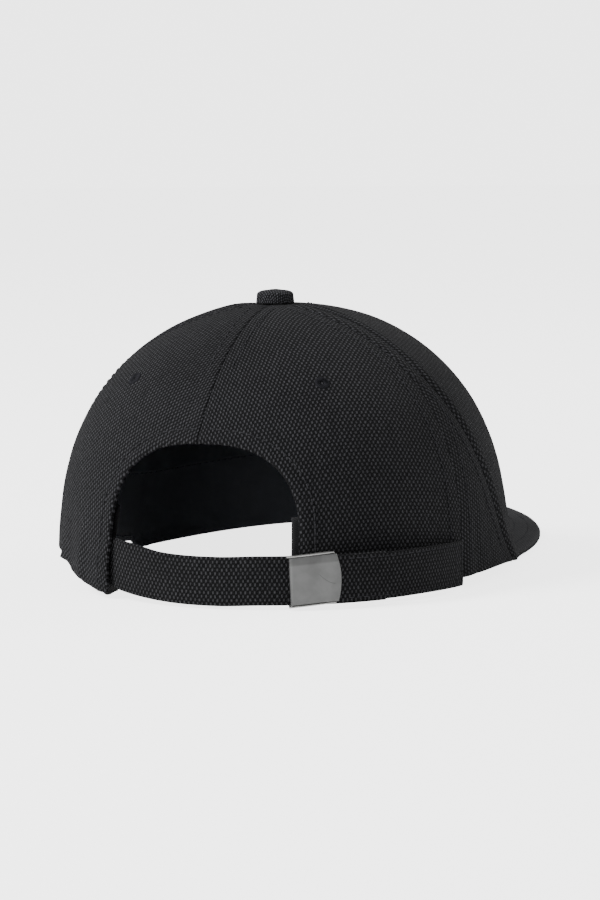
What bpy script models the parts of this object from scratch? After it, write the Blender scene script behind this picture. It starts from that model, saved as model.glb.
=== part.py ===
"""Bump cap: a six-panel canvas cap with a clasp strap, over a slide-out protective insert.

Metres, +Z up. The visor points to -Y, the rear opening and its strap to +Y, and the wearer's
left is +X. The cap stands on the visor's side edges and the clasp, at z = 0.
Places round the crown are angles from the middle of the back, positive towards the wearer's right.
"""
import math

import bmesh
import bpy
from mathutils import Matrix, Vector

MM = 0.001
FRAME_ORIGIN = Vector((-0.15, -38.94, 0.0)) * MM     # middle of the cap's box, seen from the crown's centre
GAP = 0.3 * MM                                      # clear space between neighbouring pieces

# Crown
HALF_WIDTH = 90.4 * MM
HALF_LENGTH = 104.2 * MM
CROWN_TOP = 110.7 * MM
BUTTON_BACK = 4.0 * MM                              # the button sits this far behind the crown's centre
CROWN_LEAN = 1.1 * MM                               # the soft wall leans this far to the wearer's right
FRONT_RISE = 9.8 * MM                               # the rim is this much higher at the front than at the back
LEFT_LIFT = 9.0 * MM                                # the soft rim rides up here on the wearer's left
LEFT_LIFT_AT = -60.0
LEFT_LIFT_WIDTH = 22.0
PLAN_POWER_BACK = 1.90                              # 2 is an ellipse, more is squarer
PLAN_POWER_FRONT = 2.10
WALL_POWER_BACK = 1.73
WALL_POWER_SIDE = 1.96
WALL_POWER_FRONT = 2.33
WALL_RISE_POWER = 0.64
FRONT_FLARE = 8.6 * MM                              # how far the rim spreads over the visor
FLARE_HEIGHT = 13.1 * MM
POLE_ANGLE = math.radians(87.4)                     # the panels stop here, round the button's hole
MERIDIAN_POWER = 1.3                                # closer rows near the rim
PANEL_CLOTH = 1.2 * MM
MERIDIAN_ROWS = 12

# Seams, in degrees from the middle of the back
BACK_SEAM = 75.0
BACK_SEAM_TOP = 62.0
FRONT_SEAM_RIM = 101.5
FRONT_SEAM_CLIMB = 26.5
FRONT_SEAM_TOP = 5.0
TAPE_WIDTH = 8.0 * MM
TAPE_DEPTH = (1.7 * MM, 2.2 * MM)                   # the tape's two faces, below the crown's outer face

# Rear opening
OPENING_MIDDLE = -4.3 * MM                          # the strap pulls the opening towards the clasp
OPENING_HALF = 38.8 * MM
OPENING_SPRING = 24.0 * MM                          # the arch starts at this height
OPENING_TOP = 61.3 * MM
OPENING_POWER = 2.5
FACING_WIDTH = 9.0 * MM
FACING_FOOT = 21.5 * MM

# Eyelets: (angle from the back, height)
EYELETS = {
    "eyelet_back_right": (40.0, 82.6 * MM),
    "eyelet_back_left": (-40.0, 82.6 * MM),
    "eyelet_front_right": (141.0, 85.0 * MM),
    "eyelet_front_left": (-141.0, 85.0 * MM),
}
EYELET_HOLE = 0.9 * MM
EYELET_BARREL = 1.6 * MM
EYELET_FLANGE = 2.8 * MM

# Button
BUTTON_RADIUS = 7.6 * MM
BUTTON_HEIGHT = 5.6 * MM
BUTTON_CLOTH = 0.7 * MM
RIVET_RADIUS = 1.2 * MM
WASHER_RADIUS = 5.0 * MM

# Visor
VISOR_CORNER = 118.6                                # angle from the back of each corner
VISOR_REACH = 69.5 * MM
VISOR_POWER = 2.26
VISOR_BULGE = 4.0 * MM
VISOR_BEND = 505.0 * MM                             # radius of the bend across
VISOR_DROP = 0.009
VISOR_UPTURN = 0.17 / 1000.0 / MM
VISOR_CORNER_WIDTH = 0.002
VISOR_CLOTH = 0.7 * MM
VISOR_BOARD = 1.3 * MM
VISOR_HEM = 2.6 * MM                                # cloth beyond the board's edge
VISOR_SEAT = 10.6 * MM                              # height of the crown's front rim, in the middle
VISOR_RUN_IN = 34.0                                 # degrees over which the rim comes down to the visor
VISOR_SINK = 0.5 * MM                               # the visor's top face is this far below the rim

# Sweatband
SWEATBAND_DEPTH = 2.8 * MM
SWEATBAND_CLOTH = 1.2 * MM
SWEATBAND_FOOT = 1.2 * MM
SWEATBAND_HEIGHT = 31.0 * MM
SWEATBAND_ENDS = (28.2, 331.0)
STRAP_POCKET = 4.6 * MM                             # the band lies deeper where the strap is sewn in
POCKET_START = -54.0
POCKET_LENGTH = 14.0                                # degrees over which it gets deeper

# Strap, clasp and band, on circles about one upright axis
STRAP_CENTRE = Vector((-7.0, 24.4, 0.0)) * MM
STRAP_RADIUS = 78.0 * MM
STRAP_CLOTH = 1.8 * MM
STRAP_FOOT = 0.75 * MM
STRAP_TOP = 19.15 * MM
STRAP_ENDS = (-41.0, 55.0)
CLASP_HEIGHT = 19.9 * MM
CLASP_START = 25.5                                  # angle of the strap's way in
CLASP_LENGTH = 21.6 * MM
EAR_THICK = 0.5 * MM
BASE_FACES = (75.7 * MM, 76.6 * MM)
EAR_REACH = 81.9 * MM
PLATE_FACES = (80.55 * MM, 81.55 * MM)
PLATE_LENGTH = 18.4 * MM
PIN_AT = (1.7 * MM, 80.45 * MM)                     # along the clasp, and distance from the axis
PIN_RADIUS = 0.5 * MM
KNUCKLE_RADIUS = 1.1 * MM
CAM_TIP = (3.0 * MM, 79.2 * MM)
BAR_AT = (20.4 * MM, 80.7 * MM)
LOOP_CLOTH = 0.9 * MM
BAND_END = (88.0, 81.4 * MM)                        # sewn into the back seam
BAND_RETURN = 6.0 * MM

# Protective insert
SHELL_DEPTH = 4.2 * MM
SHELL_THICK = 2.2 * MM
SHELL_EDGE = 37.0 * MM                              # its edge is this far above the crown's rim
SHELL_CUT_HALF = 68.0 * MM
SHELL_CUT_SPRING = 30.0 * MM
SHELL_CUT_TOP = 74.0 * MM
VENT_RADIUS = 5.0 * MM
PAD_GAP = 0.9 * MM
PAD_THICK = 3.6 * MM

BLACK_CANVAS = (0.022, 0.022, 0.024)
MATERIALS = {
    "canvas": (BLACK_CANVAS, 0.92, 0.0),
    "webbing": (BLACK_CANVAS, 0.9, 0.0),
    "tape": ((0.018, 0.018, 0.02), 0.85, 0.0),
    "thread": ((0.03, 0.03, 0.032), 0.7, 0.0),
    "sweatband": ((0.016, 0.016, 0.018), 0.95, 0.0),
    "visor_board": ((0.05, 0.05, 0.055), 0.6, 0.0),
    "clasp_metal": ((0.42, 0.42, 0.41), 0.32, 1.0),
    "shell_plastic": ((0.02, 0.02, 0.022), 0.45, 0.0),
    "foam": ((0.05, 0.05, 0.055), 0.95, 0.0),
}


# Shapes of the crown

def signed_power(value, power):
    return math.copysign(abs(value) ** power, value)


def rim_plan(angle, depth=0.0):
    """Plan place of the crown's rim, where it spreads over the visor at the front."""
    radians = math.radians(angle)
    toward_back = math.cos(radians)
    plan = 2.0 / (PLAN_POWER_BACK if toward_back > 0.0 else PLAN_POWER_FRONT)
    flare = rim_flare(toward_back)
    x = -(HALF_WIDTH - depth + flare) * signed_power(math.sin(radians), plan)
    y = (HALF_LENGTH - depth + flare) * signed_power(toward_back, plan)
    return x, y


def rim_flare(toward_back):
    front = min(max((0.35 - toward_back) / 1.35, 0.0), 1.0)
    return FRONT_FLARE * math.sin(front * math.pi / 2.0)


def smooth_step(value):
    share = min(max(value, 0.0), 1.0)
    return share * share * (3.0 - 2.0 * share)


def visor_height(x, y):
    """Height of the visor's seat, the surface that the crown's front rim stands on."""
    forward = -HALF_LENGTH - y
    drop = x * x / (2.0 * VISOR_BEND) + VISOR_DROP * forward - VISOR_UPTURN * max(forward, 0.0) ** 2
    return VISOR_SEAT - drop


def rim_height(angle):
    """Height of the crown's rim at an angle from the middle of the back."""
    turn = (angle + 180.0) % 360.0 - 180.0
    free = FRONT_RISE * (1.0 - math.cos(math.radians(angle))) / 2.0
    free += LEFT_LIFT * math.exp(-((turn - LEFT_LIFT_AT) / LEFT_LIFT_WIDTH) ** 2)
    on_visor = smooth_step((abs(turn) - VISOR_CORNER) / VISOR_RUN_IN + 1.0)
    return free + (visor_height(*rim_plan(angle)) - free) * on_visor


def wall_power(angle):
    toward_back = math.cos(math.radians(angle))
    back = max(toward_back, 0.0) ** 2
    front = max(-toward_back, 0.0) ** 2
    return back * WALL_POWER_BACK + front * WALL_POWER_FRONT + (1.0 - back - front) * WALL_POWER_SIDE


def crown_point(angle, climb, depth=0.0):
    """Point on the crown, climb radians up its wall (0 is the rim), depth below the outer face."""
    toward_back = math.cos(math.radians(angle))
    power = wall_power(angle)
    inward = math.cos(climb) ** (2.0 / power)
    rim = rim_height(angle)
    height = rim + (CROWN_TOP - depth - rim) * math.sin(climb) ** (2.0 / (power + WALL_RISE_POWER))
    upright = rim_flare(toward_back) * (1.0 - math.exp(-max(height - rim, 0.0) / FLARE_HEIGHT))
    x, y = rim_plan(angle, depth + upright)
    lean = CROWN_LEAN * math.sin(math.pi * min(max(height / CROWN_TOP, 0.0), 1.0))
    return Vector((x * inward - lean, BUTTON_BACK + (y - BUTTON_BACK) * inward, height))


def climb_at_height(angle, height, depth=0.0):
    rim = rim_height(angle)
    share = min(max((height - rim) / (CROWN_TOP - depth - rim), 0.0), 1.0)
    return math.asin(share ** ((wall_power(angle) + WALL_RISE_POWER) / 2.0))


def crown_at_height(angle, height, depth=0.0):
    point = crown_point(angle, climb_at_height(angle, height, depth), depth)
    point.z = min(point.z, height)
    return point


def crown_behind(x, height, depth=0.0):
    """Point on the back half of the crown with this x and height."""
    low, high = -88.0, 88.0
    for _ in range(40):
        middle = (low + high) / 2.0
        if crown_at_height(middle, height, depth).x > x:
            low = middle
        else:
            high = middle
    return crown_at_height(middle, height, depth)


def crown_normal(angle, height):
    climb = climb_at_height(angle, height)
    step = 0.01
    along = crown_point(angle + 1.0, climb) - crown_point(angle - 1.0, climb)
    up = crown_point(angle, climb + step) - crown_point(angle, climb - step)
    return along.cross(up).normalized()


def meridian(share):
    return POLE_ANGLE * share ** MERIDIAN_POWER


def height_share(climb):
    return math.sin(climb) ** (2.0 / (WALL_POWER_SIDE + WALL_RISE_POWER))


def middle_back(climb):
    return 0.0


def back_seam(climb):
    return BACK_SEAM - (BACK_SEAM - BACK_SEAM_TOP) * height_share(climb) ** 12


def front_seam(climb):
    share = height_share(climb)
    return FRONT_SEAM_RIM - FRONT_SEAM_CLIMB * share ** 0.85 + FRONT_SEAM_TOP * share ** 12


def middle_front(climb):
    return 180.0


# Making solids

def closed_shell(outer, inner, wrap=False, poles=None):
    """Solid between two grids of points of the same size, closed over its last row where poles are given."""
    shape = bmesh.new()
    rows, columns = len(outer), len(outer[0])
    sides = [[[shape.verts.new(point) for point in row] for row in grid] for grid in (outer, inner)]
    front, back = sides
    spans = [(column, (column + 1) % columns) for column in range(columns if wrap else columns - 1)]
    for side in sides:
        for low, high in zip(side, side[1:]):
            for column, after in spans:
                shape.faces.new((low[column], low[after], high[after], high[column]))
    for row in (0,) if poles else (0, rows - 1):
        for column, after in spans:
            shape.faces.new((front[row][column], front[row][after], back[row][after], back[row][column]))
    if poles:
        for side, place in zip(sides, poles):
            pole = shape.verts.new(place)
            for column, after in spans:
                shape.faces.new((side[-1][column], side[-1][after], pole))
    if not wrap:
        for column in (0, columns - 1):
            for row in range(rows - 1):
                wall = (front[row][column], front[row + 1][column], back[row + 1][column], back[row][column])
                shape.faces.new(wall)
    bmesh.ops.recalc_face_normals(shape, faces=shape.faces)
    return shape


def prism(outline, low, high):
    """Solid of a plan outline between two heights."""
    shape = bmesh.new()
    foot = [shape.verts.new((point[0], point[1], low)) for point in outline]
    top = [shape.verts.new((point[0], point[1], high)) for point in outline]
    shape.faces.new(foot)
    shape.faces.new(top)
    for index in range(len(outline)):
        after = (index + 1) % len(outline)
        shape.faces.new((foot[index], foot[after], top[after], top[index]))
    bmesh.ops.recalc_face_normals(shape, faces=shape.faces)
    return shape


def turned(profile, place, axis, steps):
    """Solid of revolution: a loop of (radius, distance along the axis), which may touch the axis."""
    shape = bmesh.new()
    frame = axis.to_track_quat("Z", "Y").to_matrix().to_4x4()
    frame.translation = place
    turns = [2.0 * math.pi * step / steps for step in range(steps)]
    rings = []
    for radius, along in profile:
        around = turns if radius > 0.0 else turns[:1]
        ring = [Vector((radius * math.cos(turn), radius * math.sin(turn), along)) for turn in around]
        rings.append([shape.verts.new(frame @ point) for point in ring])
    for first, second in zip(rings, rings[1:] + rings[:1]):
        if len(first) == 1 and len(second) == 1:
            continue
        for step in range(steps):
            after = (step + 1) % steps
            corners = [first[step % len(first)], first[after % len(first)]]
            corners += [second[after % len(second)], second[step % len(second)]]
            shape.faces.new(list(dict.fromkeys(corners)))
    bmesh.ops.recalc_face_normals(shape, faces=shape.faces)
    return shape


def cylinder(place, axis, radius, low, high, steps):
    return turned([(0.0, low), (radius, low), (radius, high), (0.0, high)], place, axis, steps)


def make_material(slot):
    colour, roughness, metallic = MATERIALS[slot]
    material = bpy.data.materials.new(slot)
    material.use_nodes = True
    shader = material.node_tree.nodes["Principled BSDF"]
    shader.inputs["Base Color"].default_value = (*colour, 1.0)
    shader.inputs["Roughness"].default_value = roughness
    shader.inputs["Metallic"].default_value = metallic
    return material


def make_object(name, shape, slot, pivot=None):
    """Object from a shape in crown coordinates, with its origin at pivot."""
    origin = (pivot - FRAME_ORIGIN) if pivot is not None else Vector((0.0, 0.0, 0.0))
    shape.transform(Matrix.Translation(-FRAME_ORIGIN - origin))
    mesh = bpy.data.meshes.new(name)
    shape.to_mesh(mesh)
    shape.free()
    mesh.shade_smooth()
    mesh.set_sharp_from_angle(angle=math.radians(35.0))
    mesh.materials.append(make_material(slot))
    made = bpy.data.objects.new(name, mesh)
    made.location = origin
    bpy.context.scene.collection.objects.link(made)
    return made


def make_cutter(name, shape):
    cutter = make_object(name, shape, "canvas")
    cutter.hide_render = True
    cutter.display_type = "WIRE"
    return cutter


def cut(target, cutter):
    modifier = target.modifiers.new(cutter.name, "BOOLEAN")
    modifier.operation = "DIFFERENCE"
    modifier.object = cutter


def arch_outline(half, spring, top, spread=0.0, foot=None, steps=10):
    """Arch points (x, height) from the wearer's left foot over to the right foot."""
    points = []
    for step in range(2 * steps + 1):
        turn = math.pi * step / (2 * steps)
        x = (half + spread) * signed_power(math.cos(turn), 2.0 / OPENING_POWER)
        height = spring + (top + spread - spring) * math.sin(turn) ** (2.0 / OPENING_POWER)
        points.append((OPENING_MIDDLE + x, height))
    if foot is not None:
        points.insert(0, (points[0][0], foot))
        points.append((points[-1][0], foot))
    return points


def arch_cutter(name, half, spring, top):
    outline = arch_outline(half, spring, top, foot=-20.0 * MM)
    shape = bmesh.new()
    near = [shape.verts.new((x, 30.0 * MM, height)) for x, height in outline]
    far = [shape.verts.new((x, 130.0 * MM, height)) for x, height in outline]
    shape.faces.new(near)
    shape.faces.new(far)
    for index in range(len(outline)):
        after = (index + 1) % len(outline)
        shape.faces.new((near[index], near[after], far[after], far[index]))
    bmesh.ops.recalc_face_normals(shape, faces=shape.faces)
    return make_cutter(name, shape)


# Cloth crown

def panel_rows(low_seam, high_seam, depth, columns, side):
    rows = []
    for row in range(MERIDIAN_ROWS + 1):
        climb = meridian(row / MERIDIAN_ROWS)
        low, high = low_seam(climb), high_seam(climb)
        edge = crown_point(low, climb)
        reach = math.hypot(edge.x, edge.y - BUTTON_BACK)
        inset = math.degrees(GAP / 2.0 / reach)
        width = high - low - 2.0 * inset
        angles = [side * (low + inset + width * column / columns) for column in range(columns + 1)]
        rows.append([crown_point(angle, climb, depth) for angle in angles])
    return rows


def make_panels():
    opening = arch_cutter("rear_opening_cutter", OPENING_HALF, OPENING_SPRING, OPENING_TOP)
    panels = {
        "back": (middle_back, back_seam, 14),
        "side": (back_seam, front_seam, 5),
        "front": (front_seam, middle_front, 13),
    }
    made = {}
    for side_name, side in (("right", 1.0), ("left", -1.0)):
        for place, (low_seam, high_seam, columns) in panels.items():
            outer = panel_rows(low_seam, high_seam, 0.0, columns, side)
            inner = panel_rows(low_seam, high_seam, PANEL_CLOTH, columns, side)
            name = f"{place}_{side_name}_panel"
            made[name] = make_object(name, closed_shell(outer, inner), "canvas")
            if place == "back":
                cut(made[name], opening)
    for name, (angle, height) in EYELETS.items():
        place = crown_at_height(angle, height)
        hole = cylinder(place, crown_normal(angle, height), EYELET_BARREL + GAP, -9.0 * MM, 5.0 * MM, 12)
        cutter = make_cutter(name + "_cutter", hole)
        cut(made[name.replace("eyelet_", "") + "_panel"], cutter)


def tape_rows(seam, side, depth, start, end, rows=12):
    grid = []
    for row in range(rows + 1):
        climb = meridian(start + (end - start) * row / rows)
        middle = seam(climb)
        point = crown_point(middle, climb)
        half = math.degrees(TAPE_WIDTH / 2.0 / math.hypot(point.x, point.y - BUTTON_BACK))
        grid.append([crown_point(side * (middle + half * share), climb, depth) for share in (-1.0, 0.0, 1.0)])
    return grid


def make_tapes():
    tapes = {
        "seam_tape_middle_back": (middle_back, 1.0, 0.60, 0.88),
        "seam_tape_middle_front": (middle_front, 1.0, 0.12, 0.88),
        "seam_tape_back_right": (back_seam, 1.0, 0.12, 0.50),
        "seam_tape_back_left": (back_seam, -1.0, 0.12, 0.50),
        "seam_tape_front_right": (front_seam, 1.0, 0.12, 0.86),
        "seam_tape_front_left": (front_seam, -1.0, 0.12, 0.86),
    }
    for name, (seam, side, start, end) in tapes.items():
        outer, inner = [tape_rows(seam, side, depth, start, end) for depth in TAPE_DEPTH]
        make_object(name, closed_shell(outer, inner), "tape")


def make_opening_facing():
    """Tape folded round inside the opening's edge."""
    edges = []
    for spread in (GAP, FACING_WIDTH / 2.0, FACING_WIDTH):
        edges.append(arch_outline(OPENING_HALF, OPENING_SPRING, OPENING_TOP, spread, FACING_FOOT, steps=10))
    outer, inner = [[[crown_behind(x, z, depth) for x, z in edge] for edge in edges] for depth in TAPE_DEPTH]
    make_object("opening_facing", closed_shell(outer, inner), "tape")


def make_eyelets():
    profile = [
        (EYELET_HOLE, -PANEL_CLOTH - 0.2 * MM), (EYELET_BARREL, -PANEL_CLOTH - 0.2 * MM),
        (EYELET_BARREL, GAP), (EYELET_FLANGE, GAP), (EYELET_FLANGE - 0.3 * MM, 0.8 * MM),
        (EYELET_HOLE, 0.7 * MM),
    ]
    for name, (angle, height) in EYELETS.items():
        shape = turned(profile, crown_at_height(angle, height), crown_normal(angle, height), 12)
        make_object(name, shape, "thread")


def make_button():
    place = Vector((0.0, BUTTON_BACK, CROWN_TOP + GAP))
    up = Vector((0.0, 0.0, 1.0))
    steps = 20

    def dome(radius, height, rows=5):
        turns = [math.pi / 2.0 * row / rows for row in range(rows + 1)]
        return [(radius * math.cos(turn), height * (0.35 + 0.65 * math.sin(turn))) for turn in turns]

    outer = dome(BUTTON_RADIUS, BUTTON_HEIGHT)
    inner = dome(BUTTON_RADIUS - BUTTON_CLOTH, BUTTON_HEIGHT - BUTTON_CLOTH)
    outer[-1], inner[-1] = (0.0, outer[-1][1]), (0.0, inner[-1][1])
    cover = [(BUTTON_RADIUS - 1.0 * MM, 0.0)] + outer + inner[::-1] + [(BUTTON_RADIUS - 1.4 * MM, BUTTON_CLOTH)]
    make_object("button_cover", turned(cover, place, up, steps), "canvas")

    core = dome(BUTTON_RADIUS - BUTTON_CLOTH - GAP, BUTTON_HEIGHT - BUTTON_CLOTH - 2.0 * GAP)
    core[-1] = (0.0, core[-1][1])
    profile = [(0.0, 1.1 * MM), (BUTTON_RADIUS - 2.0 * MM, 1.1 * MM)] + core
    make_object("button_core", turned(profile, place, up, steps), "clasp_metal")

    rivet_low = -PANEL_CLOTH - 1.9 * MM
    head = 0.5 * MM
    rivet = [(0.0, rivet_low), (RIVET_RADIUS, rivet_low), (RIVET_RADIUS, 0.3 * MM), (2.6 * MM, 0.3 * MM)]
    rivet += [(2.6 * MM, 0.3 * MM + head), (0.0, 0.3 * MM + head)]
    make_object("button_rivet", turned(rivet, place, up, 12), "clasp_metal")

    washer_top = -PANEL_CLOTH - 3.0 * GAP
    washer = [(RIVET_RADIUS + 0.1 * MM, washer_top - 0.6 * MM), (WASHER_RADIUS, washer_top - 0.6 * MM)]
    washer += [(WASHER_RADIUS, washer_top), (RIVET_RADIUS + 0.1 * MM, washer_top)]
    make_object("button_washer", turned(washer, place, up, 16), "clasp_metal")


# Visor

def visor_reach(across):
    return VISOR_REACH * math.sqrt(1.0 + VISOR_CORNER_WIDTH - abs(across) ** VISOR_POWER)


def visor_point(across, out):
    """Point on the visor's seat surface: across -1 to 1 between its corners, out 0 to 1."""
    x, y = rim_plan(180.0 + across * (180.0 - VISOR_CORNER), PANEL_CLOTH)
    x += math.copysign(VISOR_BULGE, x) * math.sin(math.pi * abs(across)) * out
    y -= visor_reach(across) * out
    return Vector((x, y, visor_height(x, y)))


def visor_layer(name, faces, edge_faces, inset, slot):
    """Layer between two depths below the top face; a second pair of depths holds at a hemmed edge."""
    columns, rows = 28, 5
    grids = []
    for face, depth in enumerate(faces):
        grid = [[] for _ in range(rows + 1 + bool(edge_faces))]
        for column in range(columns + 1):
            across = -1.0 + 2.0 * column / columns
            flat = 1.0 - min(inset / visor_reach(across), 0.9)
            for row in range(rows + 1):
                point = visor_point(across, flat * row / rows)
                grid[row].append(point - Vector((0.0, 0.0, depth)))
            if edge_faces:
                grid[-1].append(visor_point(across, 1.0) - Vector((0.0, 0.0, edge_faces[face])))
        grids.append(grid)
    make_object(name, closed_shell(*grids), slot)


def make_visor():
    top = VISOR_SINK
    board = top + VISOR_CLOTH + GAP
    under = board + VISOR_BOARD + GAP
    middle = board + VISOR_BOARD / 2.0
    hem_gap = GAP / 2.0
    top_edge = (middle - hem_gap - VISOR_CLOTH, middle - hem_gap)
    under_edge = (middle + hem_gap, middle + hem_gap + VISOR_CLOTH)
    visor_layer("visor_top_cloth", (top, top + VISOR_CLOTH), top_edge, VISOR_HEM, "canvas")
    visor_layer("visor_board", (board, board + VISOR_BOARD), None, VISOR_HEM + 2.0 * GAP, "visor_board")
    visor_layer("visor_under_cloth", (under, under + VISOR_CLOTH), under_edge, VISOR_HEM, "canvas")


# Sweatband

def sweatband_depth(angle):
    """The band lies close to the panels, and deeper over the strap's sewn root."""
    turn = (angle + 180.0) % 360.0 - 180.0
    share = (turn - POCKET_START) / POCKET_LENGTH if turn < 0.0 else 0.0
    return SWEATBAND_DEPTH + STRAP_POCKET * smooth_step(share)


def make_sweatband():
    columns = 56
    start, end = SWEATBAND_ENDS
    grids = []
    for cloth in (0.0, SWEATBAND_CLOTH):
        grid = []
        for share in (0.0, 0.5, 1.0):
            line = []
            for column in range(columns + 1):
                angle = start + (end - start) * column / columns
                height = rim_height(angle) + SWEATBAND_FOOT + SWEATBAND_HEIGHT * share
                line.append(crown_at_height(angle, height, sweatband_depth(angle) + cloth))
            grid.append(line)
        grids.append(grid)
    make_object("sweatband", closed_shell(*grids), "sweatband")


# Strap, clasp and band

def strap_point(angle, radius):
    radians = math.radians(angle)
    return Vector((STRAP_CENTRE.x - radius * math.sin(radians), STRAP_CENTRE.y + radius * math.cos(radians), 0.0))


def clasp_point(along, radius):
    return strap_point(CLASP_START + math.degrees(along / PLATE_FACES[1]), radius)


def ribbon(path, cloth):
    """Plan outline of a strip of cloth whose middle follows a path of points."""
    left, right = [], []
    for index, point in enumerate(path):
        before = path[max(index - 1, 0)]
        after = path[min(index + 1, len(path) - 1)]
        along = (after - before).normalized()
        normal = Vector((-along.y, along.x, 0.0)) * (cloth / 2.0)
        left.append(point + normal)
        right.append(point - normal)
    return left + right[::-1]


def make_strap():
    steps = 36
    start, end = STRAP_ENDS
    path = [strap_point(start + (end - start) * step / steps, STRAP_RADIUS) for step in range(steps + 1)]
    centre = STRAP_CENTRE + Vector((0.0, 0.0, (STRAP_FOOT + STRAP_TOP) / 2.0))
    make_object("rear_strap", prism(ribbon(path, STRAP_CLOTH), STRAP_FOOT, STRAP_TOP), "webbing", centre)


def make_clasp_band():
    """Band from the back seam to the clasp, looped round its bar."""
    bar = clasp_point(*BAR_AT)
    bar_angle = CLASP_START + math.degrees(BAR_AT[0] / PLATE_FACES[1])
    turn_radius = PIN_RADIUS + 0.15 * MM + LOOP_CLOTH / 2.0
    return_angle = bar_angle + math.degrees(BAND_RETURN / BAR_AT[1])
    path = []
    for step in range(3):
        angle = return_angle + (bar_angle - return_angle) * step / 3
        path.append(strap_point(angle, BAR_AT[1] - turn_radius))
    outward = (bar - STRAP_CENTRE).normalized()
    entry = Vector((outward.y, -outward.x, 0.0))
    for step in range(9):
        turn = -math.pi / 2.0 + math.pi * step / 8
        path.append(bar + (entry * math.cos(turn) + outward * math.sin(turn)) * turn_radius)
    end_angle, end_radius = BAND_END
    steps = 16
    for step in range(1, steps + 1):
        share = step / steps
        radius = (BAR_AT[1] + turn_radius) * (1.0 - share) + end_radius * share
        path.append(strap_point(bar_angle + (end_angle - bar_angle) * share, radius))
    make_object("clasp_band", prism(ribbon(path, LOOP_CLOTH), STRAP_FOOT, STRAP_TOP), "webbing")


def sector(inner, outer, start, end, steps=6):
    """Plan outline between two radii, along a stretch of the clasp."""
    alongs = [start + (end - start) * step / steps for step in range(steps + 1)]
    return [clasp_point(along, outer) for along in alongs] + [clasp_point(along, inner) for along in alongs[::-1]]


def make_clasp():
    up = Vector((0.0, 0.0, 1.0))
    inner, base = BASE_FACES
    frame = make_object("clasp_frame", prism(sector(inner, EAR_REACH, 0.0, CLASP_LENGTH), 0.0, CLASP_HEIGHT),
                        "clasp_metal")
    room = sector(base, EAR_REACH + 2.0 * MM, -1.0 * MM, CLASP_LENGTH + 1.0 * MM)
    cut(frame, make_cutter("clasp_room_cutter", prism(room, EAR_THICK, CLASP_HEIGHT - EAR_THICK)))
    pin, bar = clasp_point(*PIN_AT), clasp_point(*BAR_AT)
    for name, place in (("pin_hole_cutter", pin), ("bar_hole_cutter", bar)):
        hole = cylinder(place, up, PIN_RADIUS + 0.1 * MM, -1.0 * MM, CLASP_HEIGHT + 1.0 * MM, 12)
        cut(frame, make_cutter(name, hole))
    for name, place in (("clasp_hinge_pin", pin), ("clasp_loop_bar", bar)):
        rod = cylinder(place, up, PIN_RADIUS, 0.1 * MM, CLASP_HEIGHT - 0.1 * MM, 12)
        make_object(name, rod, "clasp_metal")

    under, face = PLATE_FACES
    steps = 8
    alongs = [PIN_AT[0] + (PLATE_LENGTH - PIN_AT[0]) * step / steps for step in range(steps + 1)]
    outline = [clasp_point(along, face) for along in alongs[::-1]]
    outward = (pin - STRAP_CENTRE).normalized()
    entry = Vector((outward.y, -outward.x, 0.0))
    for step in range(1, 9):
        turn = math.pi / 2.0 - math.pi * step / 8
        outline.append(pin + (entry * math.cos(turn) + outward * math.sin(turn)) * KNUCKLE_RADIUS)
    outline.append(clasp_point(*CAM_TIP))
    outline.append(clasp_point(CAM_TIP[0] + 1.2 * MM, under))
    outline += [clasp_point(along, under) for along in alongs if along > CAM_TIP[0] + 1.5 * MM]
    low, high = EAR_THICK + 0.25 * MM, CLASP_HEIGHT - EAR_THICK - 0.25 * MM
    flap = make_object("clasp_flap", prism(outline, low, high), "clasp_metal", pin)
    hole = cylinder(pin, up, PIN_RADIUS + 0.1 * MM, -1.0 * MM, CLASP_HEIGHT + 1.0 * MM, 12)
    cut(flap, make_cutter("flap_hole_cutter", hole))


# Protective insert

def shell_rows(depth, columns=40, rows=9):
    grid = []
    for row in range(rows + 1):
        share = row / rows
        line = []
        for column in range(columns):
            angle = 360.0 * column / columns
            foot = climb_at_height(angle, rim_height(angle) + SHELL_EDGE)
            line.append(crown_point(angle, foot + (math.radians(89.0) - foot) * share, depth))
        grid.append(line)
    return grid


def make_shell():
    outer, inner = shell_rows(SHELL_DEPTH), shell_rows(SHELL_DEPTH + SHELL_THICK)
    poles = [sum(grid[-1], Vector()) / len(grid[-1]) for grid in (outer, inner)]
    shape = closed_shell(outer[:-1], inner[:-1], wrap=True, poles=poles)
    shell = make_object("protective_shell", shape, "shell_plastic")
    cut(shell, arch_cutter("shell_opening_cutter", SHELL_CUT_HALF, SHELL_CUT_SPRING, SHELL_CUT_TOP))
    for name, (angle, height) in EYELETS.items():
        place = crown_at_height(angle, height)
        vent = cylinder(place, crown_normal(angle, height), VENT_RADIUS, -14.0 * MM, 2.0 * MM, 14)
        cut(shell, make_cutter(name.replace("eyelet", "vent") + "_cutter", vent))


def make_pads():
    """Foam pads stuck inside the shell: (angles, share of the way up its wall)."""
    pads = {
        "pad_front": (150.0, 210.0, 0.10, 0.42),
        "pad_right": (72.0, 124.0, 0.12, 0.42),
        "pad_left": (236.0, 288.0, 0.12, 0.42),
        "pad_middle_front": (140.0, 220.0, 0.56, 0.82),
        "pad_middle_back": (-34.0, 34.0, 0.66, 0.86),
    }
    shallow = SHELL_DEPTH + SHELL_THICK + PAD_GAP
    for name, (first, last, low, high) in pads.items():
        grids = []
        for depth in (shallow, shallow + PAD_THICK):
            grid = []
            for row in range(4):
                share = low + (high - low) * row / 3
                line = []
                for column in range(8):
                    angle = first + (last - first) * column / 7
                    foot = climb_at_height(angle, rim_height(angle) + SHELL_EDGE)
                    line.append(crown_point(angle, foot + (math.radians(89.0) - foot) * share, depth))
                grid.append(line)
            grids.append(grid)
        make_object(name, closed_shell(*grids), "foam")


def clear_scene():
    for old in list(bpy.data.objects):
        bpy.data.objects.remove(old)


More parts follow.
